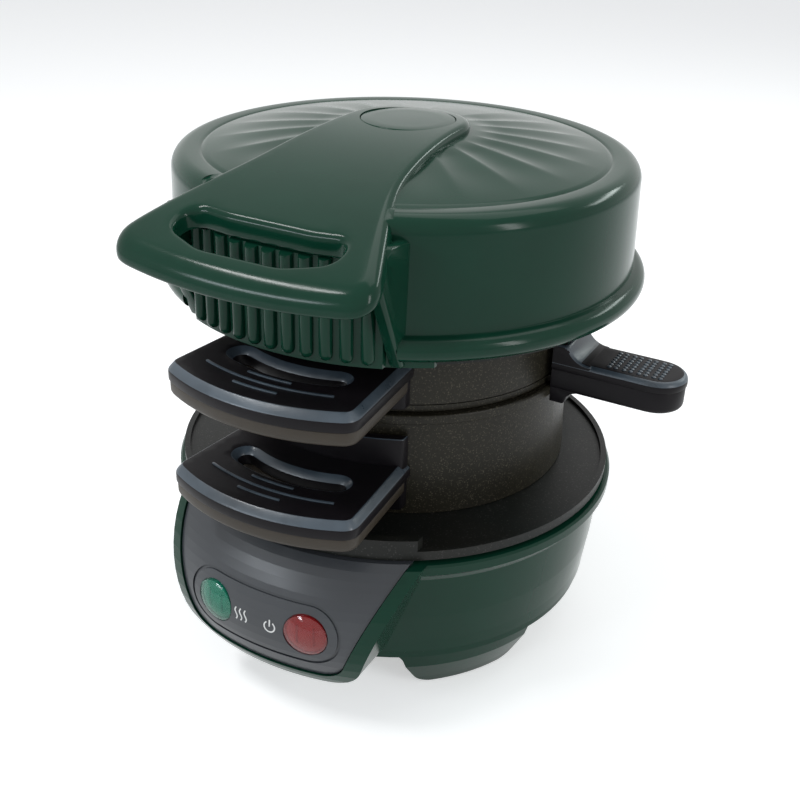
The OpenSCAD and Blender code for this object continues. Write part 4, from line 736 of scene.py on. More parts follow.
LID_WALL_R = 70.4 * MM
LID_TOP_R = 69.6 * MM
LID_T = 2.2 * MM
SKIRT_DROP = 2.2 * MM
LID_H = 37.9 * MM
SHOULDER_R = 4.8 * MM
CREASE_R = 60.7 * MM
DOME_H = 5.9 * MM
SPINE_OVER = 2.17 * MM
SPINE_R = 220 * MM
SPINE_T = 4.8 * MM
SPINE_ROUND = 4.2 * MM
SPINE_UNDER_ROUND = 1.6 * MM
GRIP_T = 6.4 * MM
GRIP_FRONT = 92.7 * MM
GRIP_W = 40.3 * MM
GRIP_SLOT_ROUND = 1.7 * MM
LID_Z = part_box("lid_shell")[0].z + SKIRT_DROP
SHOULDER_Z = LID_Z + LID_H
APEX_Z = SHOULDER_Z + DOME_H + SPINE_OVER
FLANGE_H = 6.8 * MM
FLANGE_R = 76 * MM
FLANGE_CUT_LOW = 1 * MM
FLANGE_CUT_HIGH = 8.2 * MM
CHEEK_IN = 30.2 * MM
CHEEK_OUT = 34.2 * MM
CHEEK_ROUND = 0.9 * MM
SKIRT_W = 40.7 * MM
SKIRT_IN = 0.1 * MM
SKIRT_T = 1.2 * MM
SKIRT_RISE = 3 * MM
# The distance between points on an outline, and how far a cut runs past what it cuts
LID_STEP = 1.0 * MM
LID_OVER = 20 * MM
# Places in front of the axis: the handle's neck, and the stretch that the front is cut from
NECK_Y = LID_AXIS.y - 61.5 * MM
FRONT_Y = LID_AXIS.y - 80 * MM
MID_Y = LID_AXIS.y - 30 * MM

# The flange's rolled lip, and the points below and above it: radii, and heights over the edge
LIP_R = 3.4 * MM
LIP_MIDDLE = (70.9 * MM, LID_Z + 3.5 * MM)
LIP_FOOT = [(70.6, 0), (71.2, 0.05)]
LIP_HEAD = [(70.75, 6.95), (70.45, 7.1)]
WALL_LOW = 7.9 * MM
# The groove between shoulder and dome: radii, and depths below the shoulder
GROOVE = [(61.8, 0), (61.2, 0.12), (60.75, 0.3), (60.35, 0.12)]
DOME_START = 59.8 * MM
DOME_NEXT = 59.2 * MM

# The disc in the lid's top, and its slight dome: radii, and heights over its edge
BADGE_RECESS_R = 14.3 * MM
BADGE_FOOT_R = 13.9 * MM
BADGE_R = 14.15 * MM
BADGE_ROUND = 0.35 * MM
BADGE_SINK = 0.25 * MM
BADGE_FOOT = 1.6 * MM
BADGE_RECESS = 1.7 * MM
BADGE_OVER = 5 * MM
BADGE_DOME = [(10, 0.05), (5, 0.12), (0, 0.15)]

PLEAT_COUNT = 8
PLEAT_FIRST = math.radians(-64)
PLEAT_STEP = math.radians(17.5)
PLEAT_IN = 20 * MM
PLEAT_OUT = 59.5 * MM
PLEAT_DEPTH = 0.55 * MM
PLEAT_LEAN = 0.75
PLEAT_SHARP = 1.2
PLEAT_FADE_IN = 4
PLEAT_FADE_OUT = 1.9


def dome_z(radius):
    return SHOULDER_Z + DOME_H * (1 - (radius / CREASE_R) ** 2)


def smooth_step(value):
    value = max(0.0, min(1.0, value))
    return value * value * (3 - 2 * value)


def pleat(radius, angle, height):
    """Depth of the flutes that fan out over the dome on both sides of the spine."""
    if radius > PLEAT_OUT or height < dome_z(radius) - LID_T / 2:
        return 0
    side = math.atan2(math.sin(angle), abs(math.cos(angle)))
    turn = (side - PLEAT_FIRST) / PLEAT_STEP
    if not 0 < turn < PLEAT_COUNT:
        return 0
    across = turn - math.floor(turn)
    # each flute is steep on its front side and shallow on its rear side
    shape = math.sin(math.pi * across ** PLEAT_LEAN) ** PLEAT_SHARP
    share = (radius - PLEAT_IN) / (PLEAT_OUT - PLEAT_IN)
    fade = smooth_step(share * PLEAT_FADE_IN) * smooth_step((1 - share) * PLEAT_FADE_OUT)
    return -PLEAT_DEPTH * shape * fade


def lid_profile():
    outer = [(r * MM, LID_Z + h * MM) for r, h in LIP_FOOT]
    outer += arc(LIP_MIDDLE, LIP_R, -76, 82, 16)
    outer += [(r * MM, LID_Z + h * MM) for r, h in LIP_HEAD]
    outer.append((LID_WALL_R, LID_Z + WALL_LOW))
    wall_top = SHOULDER_Z - SHOULDER_R
    wall_steps = 12
    for k in range(1, wall_steps):
        share = k / wall_steps
        outer.append((
            LID_WALL_R + (LID_TOP_R - LID_WALL_R) * share,
            LID_Z + WALL_LOW + (wall_top - LID_Z - WALL_LOW) * share,
        ))
    outer += arc((LID_TOP_R - SHOULDER_R, wall_top), SHOULDER_R, 0, 90, 14)
    outer += [(r * MM, SHOULDER_Z - d * MM) for r, d in GROOVE]
    outer.append((DOME_START, dome_z(DOME_START)))
    dome_steps = 54
    radii = [DOME_NEXT * (1 - k / dome_steps) for k in range(dome_steps + 1)]
    outer += [(r, dome_z(r)) for r in radii]
    inner = [(r, dome_z(r) - LID_T) for r in ((CREASE_R - LID_T) * k / 10 for k in range(11))]
    inner += arc((LID_TOP_R - SHOULDER_R, wall_top), SHOULDER_R - LID_T, 80, 0, 6)
    inner += [(LID_WALL_R - LID_T, LID_Z + FLANGE_H), (LID_WALL_R - LID_T / 3, LID_Z)]
    return outer + inner


def spine_z(y):
    """Height of the raised spine, at a place in front of or behind the lid's axis."""
    reach = y - LID_AXIS.y
    return APEX_Z - SPINE_R + math.sqrt(SPINE_R ** 2 - reach ** 2)


# Half widths of the spine at places in front of the lid's axis
SPINE_W = [
    (0, 18.5), (10, 19.0), (22, 19.9), (34, 21.2), (43.5, 22.9), (52, 25.6), (61.5, 29.6),
    (70, 33.4), (78, 36.9),
]


def smooth_curve(places, steps):
    """Points on a smooth curve through all the places but the last."""
    curve = []
    for i in range(len(places) - 1):
        p0 = places[max(i - 1, 0)]
        p1 = places[i]
        p2 = places[i + 1]
        p3 = places[min(i + 2, len(places) - 1)]
        for k in range(steps):
            t = k / steps
            curve.append(0.5 * (2 * p1 + (p2 - p0) * t + (2 * p0 - 5 * p1 + 4 * p2 - p3) * t ** 2
                                + (3 * p1 - p0 - 3 * p2 + p3) * t ** 3))
    return curve


def spine_outline():
    front_r = 180 * MM
    corner_r = 6 * MM
    corner_x = 40.9 * MM
    # the points of the front start well inside the rounded corner
    front_share = 0.8
    front_steps = 8

    def front_y(x):
        return -GRIP_FRONT + front_r - math.sqrt(front_r ** 2 - x ** 2)

    side = smooth_curve([Vector((w, -y)) * MM for y, w in SPINE_W], 6)
    front = [corner_x * front_share * (1 - k / front_steps) for k in range(front_steps + 1)]
    half = arc((0, 0), SPINE_W[0][1] * MM, 90, 0, 14)[:-1] + [tuple(p) for p in side]
    rounding = [0] * len(half) + [corner_r] + [0] * len(front)
    half += [(corner_x, front_y(corner_x))] + [(x, front_y(x)) for x in front]
    corners = half + [(-x, y) for x, y in reversed(half[1:-1])]
    outline = rounded(corners, rounding + list(reversed(rounding[1:-1])))
    outline = [Vector((x + LID_AXIS.x, y + LID_AXIS.y)) for x, y in outline]
    # anticlockwise, seen from above
    return list(reversed(soften(evenly(outline, LID_STEP), 4)))


def slot_outline():
    front = 85.0 * MM
    rear = 71.3 * MM
    half = 24.5 * MM
    drop = 4.4 * MM
    bow = 1.4 * MM
    corners = [
        (-half, -rear), (-half, -front + drop), (-half / 2, -front), (half / 2, -front),
        (half, -front + drop), (half, -rear), (half / 2, -rear - bow), (-half / 2, -rear - bow),
    ]
    rear_r = 4.2 * MM
    front_r = 4.6 * MM
    long_r = 12 * MM
    radii = [rear_r, front_r, long_r, long_r, front_r, rear_r, long_r, long_r]
    shape = rounded(corners, radii)
    shape = [Vector((x + LID_AXIS.x, y + LID_AXIS.y)) for x, y in shape]
    return evenly(shape, LID_STEP)


def room_above_spine():
    """What lies over the spine inside its outline, where the dome gives way."""
    outline = [tuple(p) for p in spine_outline()]
    above = prism("above", outline, SHOULDER_Z - LID_OVER, APEX_Z + LID_OVER)
    steps = 40
    margin = 4 * MM
    back = 24 * MM
    overlap = 0.4 * MM
    height = 30 * MM
    reach = GRIP_FRONT + margin
    high = APEX_Z + height
    half = GRIP_W * 1.2
    ys = [LID_AXIS.y + back - (reach + back) * i / steps for i in range(steps + 1)]
    side = [(y, spine_z(y) - overlap) for y in ys] + [(ys[-1], high), (ys[0], high)]
    over = prism("over", side, LID_AXIS.x - half, LID_AXIS.x + half, from_side)
    return combine(above, over, "INTERSECT")


def front_block(name, half):
    return prism(name, rectangle(LID_AXIS.x, half, FRONT_Y, MID_Y), 0.0, 2 * LID_Z)


def flange_gap():
    """The stretch of the flange that is left out between the cheeks."""
    low = LID_Z - FLANGE_CUT_LOW
    high = LID_Z + FLANGE_CUT_HIGH
    band = tube("band", LID_WALL_R - SKIRT_IN, FLANGE_R, low, high, LID_AXIS, 240)
    return combine(band, front_block("narrow", CHEEK_OUT), "INTERSECT")


def make_skirt():
    """The front of the wall, which reaches lower than the flange."""
    inner = LID_WALL_R - SKIRT_T
    outer = LID_WALL_R - SKIRT_IN
    skirt = tube("skirt", inner, outer, LID_Z - SKIRT_DROP, LID_Z + SKIRT_RISE, LID_AXIS, 360)
    return combine(skirt, front_block("box", SKIRT_W), "INTERSECT")


def make_spine():
    grow = 8 * MM
    fade = 50 * MM

    def edge_size(loop):
        # the spine's edge is fuller towards the handle's front
        return [0.5 + 0.5 * smooth_step((MID_Y - p.y) / fade) for p in loop]

    def top(x, y):
        return spine_z(y)

    def bottom(x, y):
        forward = smooth_step((NECK_Y - y + grow / 2) / grow)
        return spine_z(y) - SPINE_T - (GRIP_T - SPINE_T) * forward

    return plate(
        "spine", spine_outline(), top, bottom, fillet(SPINE_ROUND, 8), fillet(SPINE_UNDER_ROUND, 4),
        holes=[slot_outline()], hole_edge=fillet(GRIP_SLOT_ROUND, 5), scale=edge_size,
    )


def make_cheek(side):
    """A gusset under the handle, from its underside down to the skirt."""
    top_front = LID_AXIS.y - 77 * MM
    top_rear = LID_AXIS.y - 70 * MM
    foot_front = LID_AXIS.y - 63 * MM
    rear = LID_AXIS.y - 52.5 * MM
    margin = 4 * MM
    wide = 50 * MM
    deep = 10 * MM
    # how far the gusset's corners reach into the handle, or lie below the spine
    front_in = 1.5 * MM
    wall_drop = 8 * MM
    neck_drop = 5 * MM
    rear_drop = 1.6 * MM
    front = top_front - margin
    profile = [
        (top_front, spine_z(top_front) - GRIP_T + front_in),
        (foot_front, LID_Z - SKIRT_DROP),
        (rear, LID_Z - SKIRT_DROP),
        (rear, SHOULDER_Z - wall_drop),
        (NECK_Y, spine_z(NECK_Y) - neck_drop),
        (top_rear, spine_z(top_rear) - rear_drop),
    ]
    plan = [(CHEEK_IN, rear), (CHEEK_IN, front), (CHEEK_OUT, front), (CHEEK_OUT, rear)]
    plan = [(LID_AXIS.x + side * x, y) for x, y in plan]
    cheek = prism("cheek", plan, LID_Z - deep, APEX_Z)
    wedge = prism("wedge", profile, LID_AXIS.x - wide, LID_AXIS.x + wide, from_side)
    combine(cheek, wedge, "INTERSECT")
    return bevel(cheek, CHEEK_ROUND, 3)


def room_in_lid():
    below_spine = 4 * MM
    high = spine_z(NECK_Y) - SPINE_T - below_spine
    return tube("hollow", 0, LID_WALL_R - LID_T, LID_Z - LID_OVER, high, LID_AXIS, 120)


def make_lid():
    cover = turned("lid_cover", lid_profile(), LID_AXIS, 360, pleat)
    combine(cover, room_above_spine(), "DIFFERENCE")
    combine(cover, flange_gap(), "DIFFERENCE")
    spine = make_spine()
    for side in (-1, 1):
        combine(spine, make_cheek(side), "UNION")
    combine(spine, room_in_lid(), "DIFFERENCE")
    combine(cover, spine, "UNION")
    combine(cover, make_skirt(), "UNION")
    low = APEX_Z - BADGE_RECESS
    high = APEX_Z + BADGE_OVER
    combine(cover, tube("recess", 0, BADGE_RECESS_R, low, high, LID_AXIS, 120), "DIFFERENCE")
    finish_piece(cover, "lid", GREEN, "green_plastic", "lid_shell")


def make_badge():
    foot = APEX_Z - BADGE_FOOT
    top = APEX_Z - BADGE_SINK
    disc = [(0, foot), (BADGE_FOOT_R, foot)]
    disc += [(BADGE_R - i, top - d) for i, d in reversed(fillet(BADGE_ROUND, 4))]
    disc += [(r * MM, top + h * MM) for r, h in BADGE_DOME]
    badge = turned("badge", disc, LID_AXIS, 120)
    finish_piece(badge, "lid", GREEN, "green_plastic", "badge_disc")


make_lid()
make_badge()

# RING HANDLES

RING_BACK = 5.2 * MM
RING_AXIS = Vector((BASE_AXIS.x, BASE_AXIS.y + RING_BACK, 0))
GRIP_H = 9.8 * MM
SPLIT_SHARE = 0.46
RING_GRIP_FRONT = 86.4 * MM
RING_GRIP_ARC = 62 * MM
GRIP_ARC_CENTRE = (BASE_AXIS.x, BASE_AXIS.y - RING_GRIP_FRONT + RING_GRIP_ARC)
RING_GRIP_W = 30.6 * MM
RING_ROOT_W = 26.8 * MM
RING_ROOT = 35 * MM
RING_CORNER_R = 4.6 * MM
RING_ROOT_R = 4 * MM
RING_CLEAR_R = 54.15 * MM
RING_WALL_R = 57.15 * MM
SLOT_REAR_R = 38.9 * MM
SLOT_FRONT_R = 44.4 * MM
SLOT_W = 18.2 * MM
SLOT_CORNER_R = 2.4 * MM
HALVES_GAP = 0.05 * MM
WALL_GAP = 0.1 * MM
BASE_INSET = 0.3 * MM
BASE_ROUND = 1.8 * MM
BASE_TOP_ROUND = 0.35 * MM
SPLIT_ROUND = 0.4 * MM
GRIP_STEP = 0.9 * MM
SLOT_STEP = 0.7 * MM
# The part along the ring: its places in front of the axis, and its edges
GRIP_WALL_FRONT = 70 * MM
GRIP_WALL_REAR = 20 * MM
GRIP_WALL_ROUND = 1.1 * MM
# Insets and depths of the sloping edges around the top and around its slot
GRIP_SLOPE = [(2.3, 0), (2.1, 0.05), (1.8, 0.25), (0.45, 1.75), (0.12, 2.2), (0, 2.7)]
SLOT_SLOPE = [(1.9, 0), (1.7, 0.08), (0.2, 1.6), (0, 2.0)]
# The raised lines: how far in front of the axis each lies, and its half length
LINES = [(72.4 * MM, 7 * MM), (75.9 * MM, 20.5 * MM), (79.2 * MM, 7 * MM)]
LINE_HALF_W = 0.4 * MM
LINE_H = 0.4 * MM
LINE_SINK = 0.1 * MM
LINE_ROUND = 0.15 * MM
SCREW_X = 8 * MM
SCREW_Y = 57 * MM
SCREW_HOLE_R = 3.0 * MM
SCREW_HOLE_H = 2.2 * MM
SCREW_HOLE_OVER = 1 * MM
CUT_OVER = 9 * MM
CUT_STEPS = 48
# Faces whose normal points up by this much belong to a sloping edge, which gets a painted highlight
SHEEN_LOW = 0.35
SHEEN_HIGH = 0.93


def grip_outline(drawn_in):
    half = RING_GRIP_W - drawn_in
    reach = RING_GRIP_ARC - drawn_in
    angle = math.degrees(math.asin(half / reach))
    front = arc(GRIP_ARC_CENTRE, reach, 270 - angle, 270 + angle, 16)
    root = RING_ROOT_W - drawn_in
    corners = [(BASE_AXIS.x - root, BASE_AXIS.y - RING_ROOT)] + front
    corners += [(BASE_AXIS.x + root, BASE_AXIS.y - RING_ROOT)]
    radii = [RING_ROOT_R, RING_CORNER_R] + [0] * (len(front) - 2) + [RING_CORNER_R, RING_ROOT_R]
    return evenly(rounded(corners, radii), GRIP_STEP)


def grip_slot_outline():
    far = math.degrees(math.asin(SLOT_W / SLOT_FRONT_R))
    near = math.degrees(math.asin(SLOT_W / SLOT_REAR_R))
    steps = 10
    corners = arc(GRIP_ARC_CENTRE, SLOT_FRONT_R, 270 - far, 270 + far, steps)
    corners += arc(GRIP_ARC_CENTRE, SLOT_REAR_R, 270 + near, 270 - near, steps)
    radii = ([SLOT_CORNER_R] + [0] * (steps - 1) + [SLOT_CORNER_R]) * 2
    return evenly(rounded(corners, radii), SLOT_STEP)


def ring_space(radius, low, high):
    """The round space around the rings' axis, to be cut from a handle."""
    return tube("clear", 0, radius, low, high, RING_AXIS, CUT_STEPS)


def paint_sheen_faces(obj, material, low, high):
    """Gives a second material, a painted highlight, to the sloping faces along a piece's edges, which
    tilt up towards the lights.
    """
    obj.data.materials.append(material)
    for face in obj.data.polygons:
        if low < face.normal.z < high:
            face.material_index = 1


def ring_grip_wall(low, high):
    """The part of a handle that lies along its ring."""
    wall = tube("wall", RING_CLEAR_R, RING_WALL_R, low, high, RING_AXIS, 240)
    front = RING_AXIS.y - GRIP_WALL_FRONT
    rear = RING_AXIS.y - GRIP_WALL_REAR
    plan = rectangle(RING_AXIS.x, RING_ROOT_W, front, rear)
    combine(wall, prism("front", plan, 0, 2 * high), "INTERSECT")
    return bevel(wall, GRIP_WALL_ROUND, 3, 50)


def make_grip_top(level, body, low, split, top):
    box_low, box_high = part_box(level + "_handle_top")
    upper = plate(
        level + "_grip", grip_outline(0), lambda x, y: top, lambda x, y: split,
        in_mm(GRIP_SLOPE), fillet(SPLIT_ROUND, 2), holes=[grip_slot_outline()],
        hole_edge=in_mm(SLOT_SLOPE),
    )
    combine(upper, ring_space(RING_CLEAR_R, low - CUT_OVER, top + CUT_OVER), "DIFFERENCE")
    combine(upper, ring_grip_wall(box_low.z, box_high.z), "UNION")
    # the lower half fills this part of the wall
    inner = RING_WALL_R + HALVES_GAP
    outer = RING_GRIP_FRONT * 1.4
    foot = low - 0.2 * MM
    combine(upper, tube("filled", inner, outer, foot, split, RING_AXIS, 180), "DIFFERENCE")
    set_finish(upper, PHENOLIC)
    # its upward sloping edges get a painted highlight
    paint_sheen_faces(upper, PHENOLIC_SHEEN, SHEEN_LOW, SHEEN_HIGH)
    sharp = math.radians(24)
    finish_piece(upper, body, None, "black_plastic", level + "_handle_top", angle=sharp)


def make_grip_base(level, body, low, split, top):
    lower = plate(
        level + "_grip_base", grip_outline(BASE_INSET), lambda x, y: split - HALVES_GAP,
        lambda x, y: low, fillet(BASE_TOP_ROUND, 2), fillet(BASE_ROUND, 5), holes=[grip_slot_outline()],
    )
    clear = ring_space(RING_WALL_R + WALL_GAP, low - CUT_OVER, top + CUT_OVER)
    combine(lower, clear, "DIFFERENCE")
    for side in (-1, 1):
        place = Vector((BASE_AXIS.x + side * SCREW_X, BASE_AXIS.y - SCREW_Y, 0))
        foot = low - SCREW_HOLE_OVER
        hole = tube("hole", 0, SCREW_HOLE_R, foot, low + SCREW_HOLE_H, place, CUT_STEPS)
        combine(lower, hole, "DIFFERENCE")
    finish_piece(lower, body, PHENOLIC_BASE, "black_plastic", level + "_handle_bottom")


def make_grip_lines(level, body, top):
    for number, (reach, half) in enumerate(LINES):
        centre = (BASE_AXIS.x, BASE_AXIS.y - reach + RING_GRIP_ARC)
        angle = math.degrees(math.asin(half / RING_GRIP_ARC))
        strip = arc(centre, RING_GRIP_ARC + LINE_HALF_W, 270 - angle, 270 + angle, 24)
        strip += arc(centre, RING_GRIP_ARC - LINE_HALF_W, 270 + angle, 270 - angle, 24)
        line = prism(f"{level}_grip_line_{number}", strip, top - LINE_SINK, top + LINE_H)
        bevel(line, LINE_ROUND, 2, 50)
        # the raised lines are painted paler, as a painted highlight
        finish_piece(line, body, PHENOLIC_SHEEN, "black_plastic")


for level in ("lower", "upper"):
    grip_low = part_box(level + "_handle_bottom")[0].z
    grip_split = grip_low + GRIP_H * SPLIT_SHARE
    grip_top = grip_low + GRIP_H
    make_grip_top(level, level + "_ring_body", grip_low, grip_split, grip_top)
    make_grip_base(level, level + "_ring_body", grip_low, grip_split, grip_top)
    make_grip_lines(level, level + "_ring_body", grip_top)

# SIDE HANDLE OF THE COOKING PLATE

SIDE_REACH = 92.6 * MM
SIDE_ROOT = 55.8 * MM
SIDE_W = 9 * MM
SIDE_CLEAR_R = 54.9 * MM
SIDE_START = 50 * MM
SIDE_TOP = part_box("cooking_plate")[0].z + 9.2 * MM
SIDE_SPLIT = SIDE_TOP - 3.4 * MM
SIDE_LOW = SIDE_TOP - 10.3 * MM
SIDE_CUT_OVER = 12 * MM
SIDE_ROOT_R = 3 * MM
SIDE_ROUND = 1.9 * MM
SIDE_SPLIT_ROUND = 0.3 * MM
SIDE_BASE_ROUND = 1.5 * MM
SIDE_SHEEN_LOW = 0.3
# The raised stop at the root: its foot, the scoop in front of it and its top corners
STOP_FOOT = 0.6 * MM
STOP_IN = 0.12 * MM
STOP_ROUND = 1.1 * MM
SCOOP_R = 7.2 * MM
SCOOP_X = 65.4 * MM
SCOOP_OVER = 0.02 * MM
STOP_END = SCOOP_X + 1 * MM
STOP_HEAD = [(58.2, 4.9), (50, 4.4)]
# The hook below the root: distances from the axis, and heights over the lower face
HOOK_IN = 0.6 * MM
HOOK_ROUND = 0.5 * MM
HOOK = [
    (50, -4.2), (58.4, -4.2), (59.0, -3.2), (59.4, -1.7), (60.5, -0.5), (62.6, 0.3), (62.6, 2),
    (50, 2),
]
BUMP_COLS = 8
BUMP_ROWS = 7
BUMP_PITCH = 1.97 * MM
BUMP_PAIR = 0.55 * MM
BUMP_ROW_PITCH = 1.755 * MM
BUMP_START = SIDE_ROOT + 14.7 * MM
BUMP_R = 0.72 * MM
BUMP_SIDES = 10
# Shares of a bump's radius, and heights over the handle
BUMP_RINGS = [(1.0, -0.1), (1.0, 0.1), (0.72, 0.28), (0.3, 0.36)]


def side_outline(drawn_in):
    w = SIDE_W - drawn_in
    tip = arc((SIDE_REACH - SIDE_W, 0), w, -90, 90, 20)
    corners = [(SIDE_START, -w)] + tip + [(SIDE_START, w)]
    shape = rounded(corners, [SIDE_ROOT_R] + [0] * len(tip) + [SIDE_ROOT_R])
    return evenly([Vector((RING_AXIS.x + x, RING_AXIS.y + y)) for x, y in shape], GRIP_STEP)


def across_side(a, b, c):
    """Puts the side handle's outline, drawn in X and Z, in space."""
    return (RING_AXIS.x + a, RING_AXIS.y + c, b)


def make_side_top():
    upper = plate(
        "side_grip", side_outline(0), lambda x, y: SIDE_TOP, lambda x, y: SIDE_SPLIT,
        fillet(SIDE_ROUND, 6), fillet(SIDE_SPLIT_ROUND, 2),
    )
    foot = SIDE_SPLIT + STOP_FOOT
    stop = [(SIDE_START, foot), (STOP_END, foot), (STOP_END, SIDE_TOP - HALVES_GAP)]
    stop += arc((SCOOP_X, SIDE_TOP + SCOOP_R - SCOOP_OVER), SCOOP_R, 270, 208, 9)
    stop += [(x * MM, SIDE_TOP + h * MM) for x, h in STOP_HEAD]
    block = prism("stop", stop, -SIDE_W + STOP_IN, SIDE_W - STOP_IN, across_side)
    bevel(block, STOP_ROUND, 4, 40)
    combine(upper, block, "UNION")
    clear = ring_space(SIDE_CLEAR_R, SIDE_LOW - SIDE_CUT_OVER, SIDE_TOP + SIDE_CUT_OVER)
    combine(upper, clear, "DIFFERENCE")
    set_finish(upper, PHENOLIC)
    # its upward sloping edges and scoop get a painted highlight
    paint_sheen_faces(upper, PHENOLIC_SHEEN, SIDE_SHEEN_LOW, SHEEN_HIGH)
    sharp = math.radians(40)
    finish_piece(upper, "cooking_plate_body", None, "black_plastic", "plate_handle_top", angle=sharp)


def make_side_base():
    lower = plate(
        "side_grip_base", side_outline(BASE_INSET), lambda x, y: SIDE_SPLIT - HALVES_GAP,
        lambda x, y: SIDE_LOW, fillet(SIDE_SPLIT_ROUND, 2), fillet(SIDE_BASE_ROUND, 4),
    )
    hook = [(x * MM, SIDE_LOW + h * MM) for x, h in HOOK]
    tooth = prism("hook", hook, -SIDE_W + HOOK_IN, SIDE_W - HOOK_IN, across_side)
    bevel(tooth, HOOK_ROUND, 2, 40)
    combine(lower, tooth, "UNION")
    clear = ring_space(SIDE_CLEAR_R, SIDE_LOW - SIDE_CUT_OVER, SIDE_TOP + SIDE_CUT_OVER)
    combine(lower, clear, "DIFFERENCE")
    finish_piece(lower, "cooking_plate_body", PHENOLIC, "black_plastic", "plate_handle_bottom")


def make_bumps():
    centres = [
        (RING_AXIS.x + BUMP_START + i * BUMP_PITCH + (i // 2) * BUMP_PAIR,
         RING_AXIS.y + (j - (BUMP_ROWS - 1) / 2) * BUMP_ROW_PITCH)
        for i in range(BUMP_COLS) for j in range(BUMP_ROWS)
    ]
    angles = [2 * math.pi * k / BUMP_SIDES for k in range(BUMP_SIDES)]
    points, faces = [], []
    for x, y in centres:
        start = len(points)
        for share, height in BUMP_RINGS:
            r = BUMP_R * share
            z = SIDE_TOP + height * MM
            points += [(x + r * math.cos(a), y + r * math.sin(a), z) for a in angles]
        for n in range(len(BUMP_RINGS) - 1):
            here = start + n * BUMP_SIDES
            over = here + BUMP_SIDES
            for k in range(BUMP_SIDES):
                m = (k + 1) % BUMP_SIDES
                faces.append((here + k, here + m, over + m, over + k))
        last = start + (len(BUMP_RINGS) - 1) * BUMP_SIDES
        faces.append(tuple(last + k for k in range(BUMP_SIDES)))
        faces.append(tuple(start + BUMP_SIDES - 1 - k for k in range(BUMP_SIDES)))
    bumps = link_mesh("side_grip_bumps", points, faces)
    # the bumps are painted paler, as a painted highlight
    finish_piece(bumps, "cooking_plate_body", PHENOLIC_SHEEN, "black_plastic")


make_side_top()
make_side_base()
make_bumps()

# ROLLED EDGE OF THE LOWER RING

RIM_OUT = 54.5 * MM + 0.25 * MM
RIM_IN = RIM_OUT - 1.2 * MM
RIM_H = 3.1 * MM
RIM_FOOT_R = 0.35 * MM
RIM_TOP_R = 0.8 * MM


def make_ring_rim():
    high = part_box("lower_ring")[1].z
    foot_x = RIM_OUT - RIM_FOOT_R
    low = high - RIM_H
    profile = [(RIM_IN, low), (foot_x, low)]
    profile += arc((foot_x, low + RIM_FOOT_R), RIM_FOOT_R, -60, 0, 4)
    profile += arc((RIM_OUT - RIM_TOP_R, high - RIM_TOP_R), RIM_TOP_R, 0, 90, 8)
    profile += [(RIM_IN, high)]
    rim = turned("lower_ring_rim", profile, RING_AXIS, 300)
    finish_piece(rim, "lower_ring_body", COATING, "ring_coating")


make_ring_rim()

# RIBBED FRONT OF THE LID

GRILLE_R = 70.7 * MM
GRILLE_T = 1.6 * MM
GRILLE_W = 30 * MM
GRILLE_OVER = 5 * MM
GRILLE_FOOT = 0.4 * MM
GRILLE_REAR = 55 * MM
GRILLE_GAP = 0.35 * MM
RIB_FOOT = 0.9 * MM
RIB_R = 1.9 * MM
RIB_COUNT = 11
RIB_PITCH = 5.3 * MM


def make_rib(face_r, x, low, high):
    """A half-round rib with a rounded foot, as a whole round bar."""
    axis = Vector((LID_AXIS.x + x, LID_AXIS.y - math.sqrt(face_r ** 2 - x ** 2), 0))
    angles = [math.radians(a) for a in range(0, 91, 15)]
    profile = [(RIB_R * math.sin(a), low + RIB_R * (1 - math.cos(a))) for a in angles]
    return turned("rib", profile + [(RIB_R, high), (0, high)], axis, 28)


def make_grille():
    low = LID_Z - SKIRT_DROP + GRILLE_FOOT
    rib_low = LID_Z - RIB_FOOT
    face_r = GRILLE_R + GRILLE_T
    band = tube("lid_ribs", GRILLE_R, face_r, low, SHOULDER_Z, LID_AXIS, 300)
    for i in range(RIB_COUNT):
        x = (i - (RIB_COUNT - 1) / 2) * RIB_PITCH
        combine(band, make_rib(face_r, x, rib_low, SHOULDER_Z), "UNION")
    # the ribs end just below the handle
    steps = 12
    rear = LID_AXIS.y - GRILLE_REAR
    gap = GRIP_T + GRILLE_GAP
    ys = [FRONT_Y + (rear - FRONT_Y) * k / steps for k in range(steps + 1)]
    side = [(rear, low - GRILLE_OVER), (FRONT_Y, low - GRILLE_OVER)]
    side += [(y, spine_z(y) - gap) for y in ys]
    keep = prism("keep", side, LID_AXIS.x - GRILLE_W, LID_AXIS.x + GRILLE_W, from_side)
    combine(band, keep, "INTERSECT")
    finish_piece(band, "lid", GREEN, "green_plastic", "lid_grille")


make_grille()

# INDICATOR LENSES

NOSE_R = 83.2 * MM
NOSE_ROUND = 30.9 * MM
NOSE_Z = 34 * MM
PANEL_DROP = 0.7 * MM
LENS_X = 16.1 * MM
LENS_Z = 36 * MM
LENS_R = 6.7 * MM
LENS_LIP = 1.2 * MM
LENS_DOME = 2.3 * MM
LENS_WALL = 0.6 * MM
LENS_SEAT = NOSE_R - 2.25 * MM
LENS_STEPS = 14
# The reflector behind a lens: its stem, its face and the slots in it
BACK_GAP = 0.1 * MM
BACK_STEM_IN = 0.9 * MM
BACK_LOW = -8.8 * MM
BACK_SEAT = 0.15 * MM
BACK_FACE = 0.5 * MM
# Shares of the reflector's radius, and heights over its edge
BACK_DOME = [(1, 0), (0.75, 0.25), (0.4, 0.4), (0, 0.45)]
SLOT_APART = 2.6 * MM
SLOT_HALF_W = 0.28 * MM
SLOT_HALF_L = 3.2 * MM
SLOT_END_R = 0.25 * MM
SLOT_H = 0.75 * MM


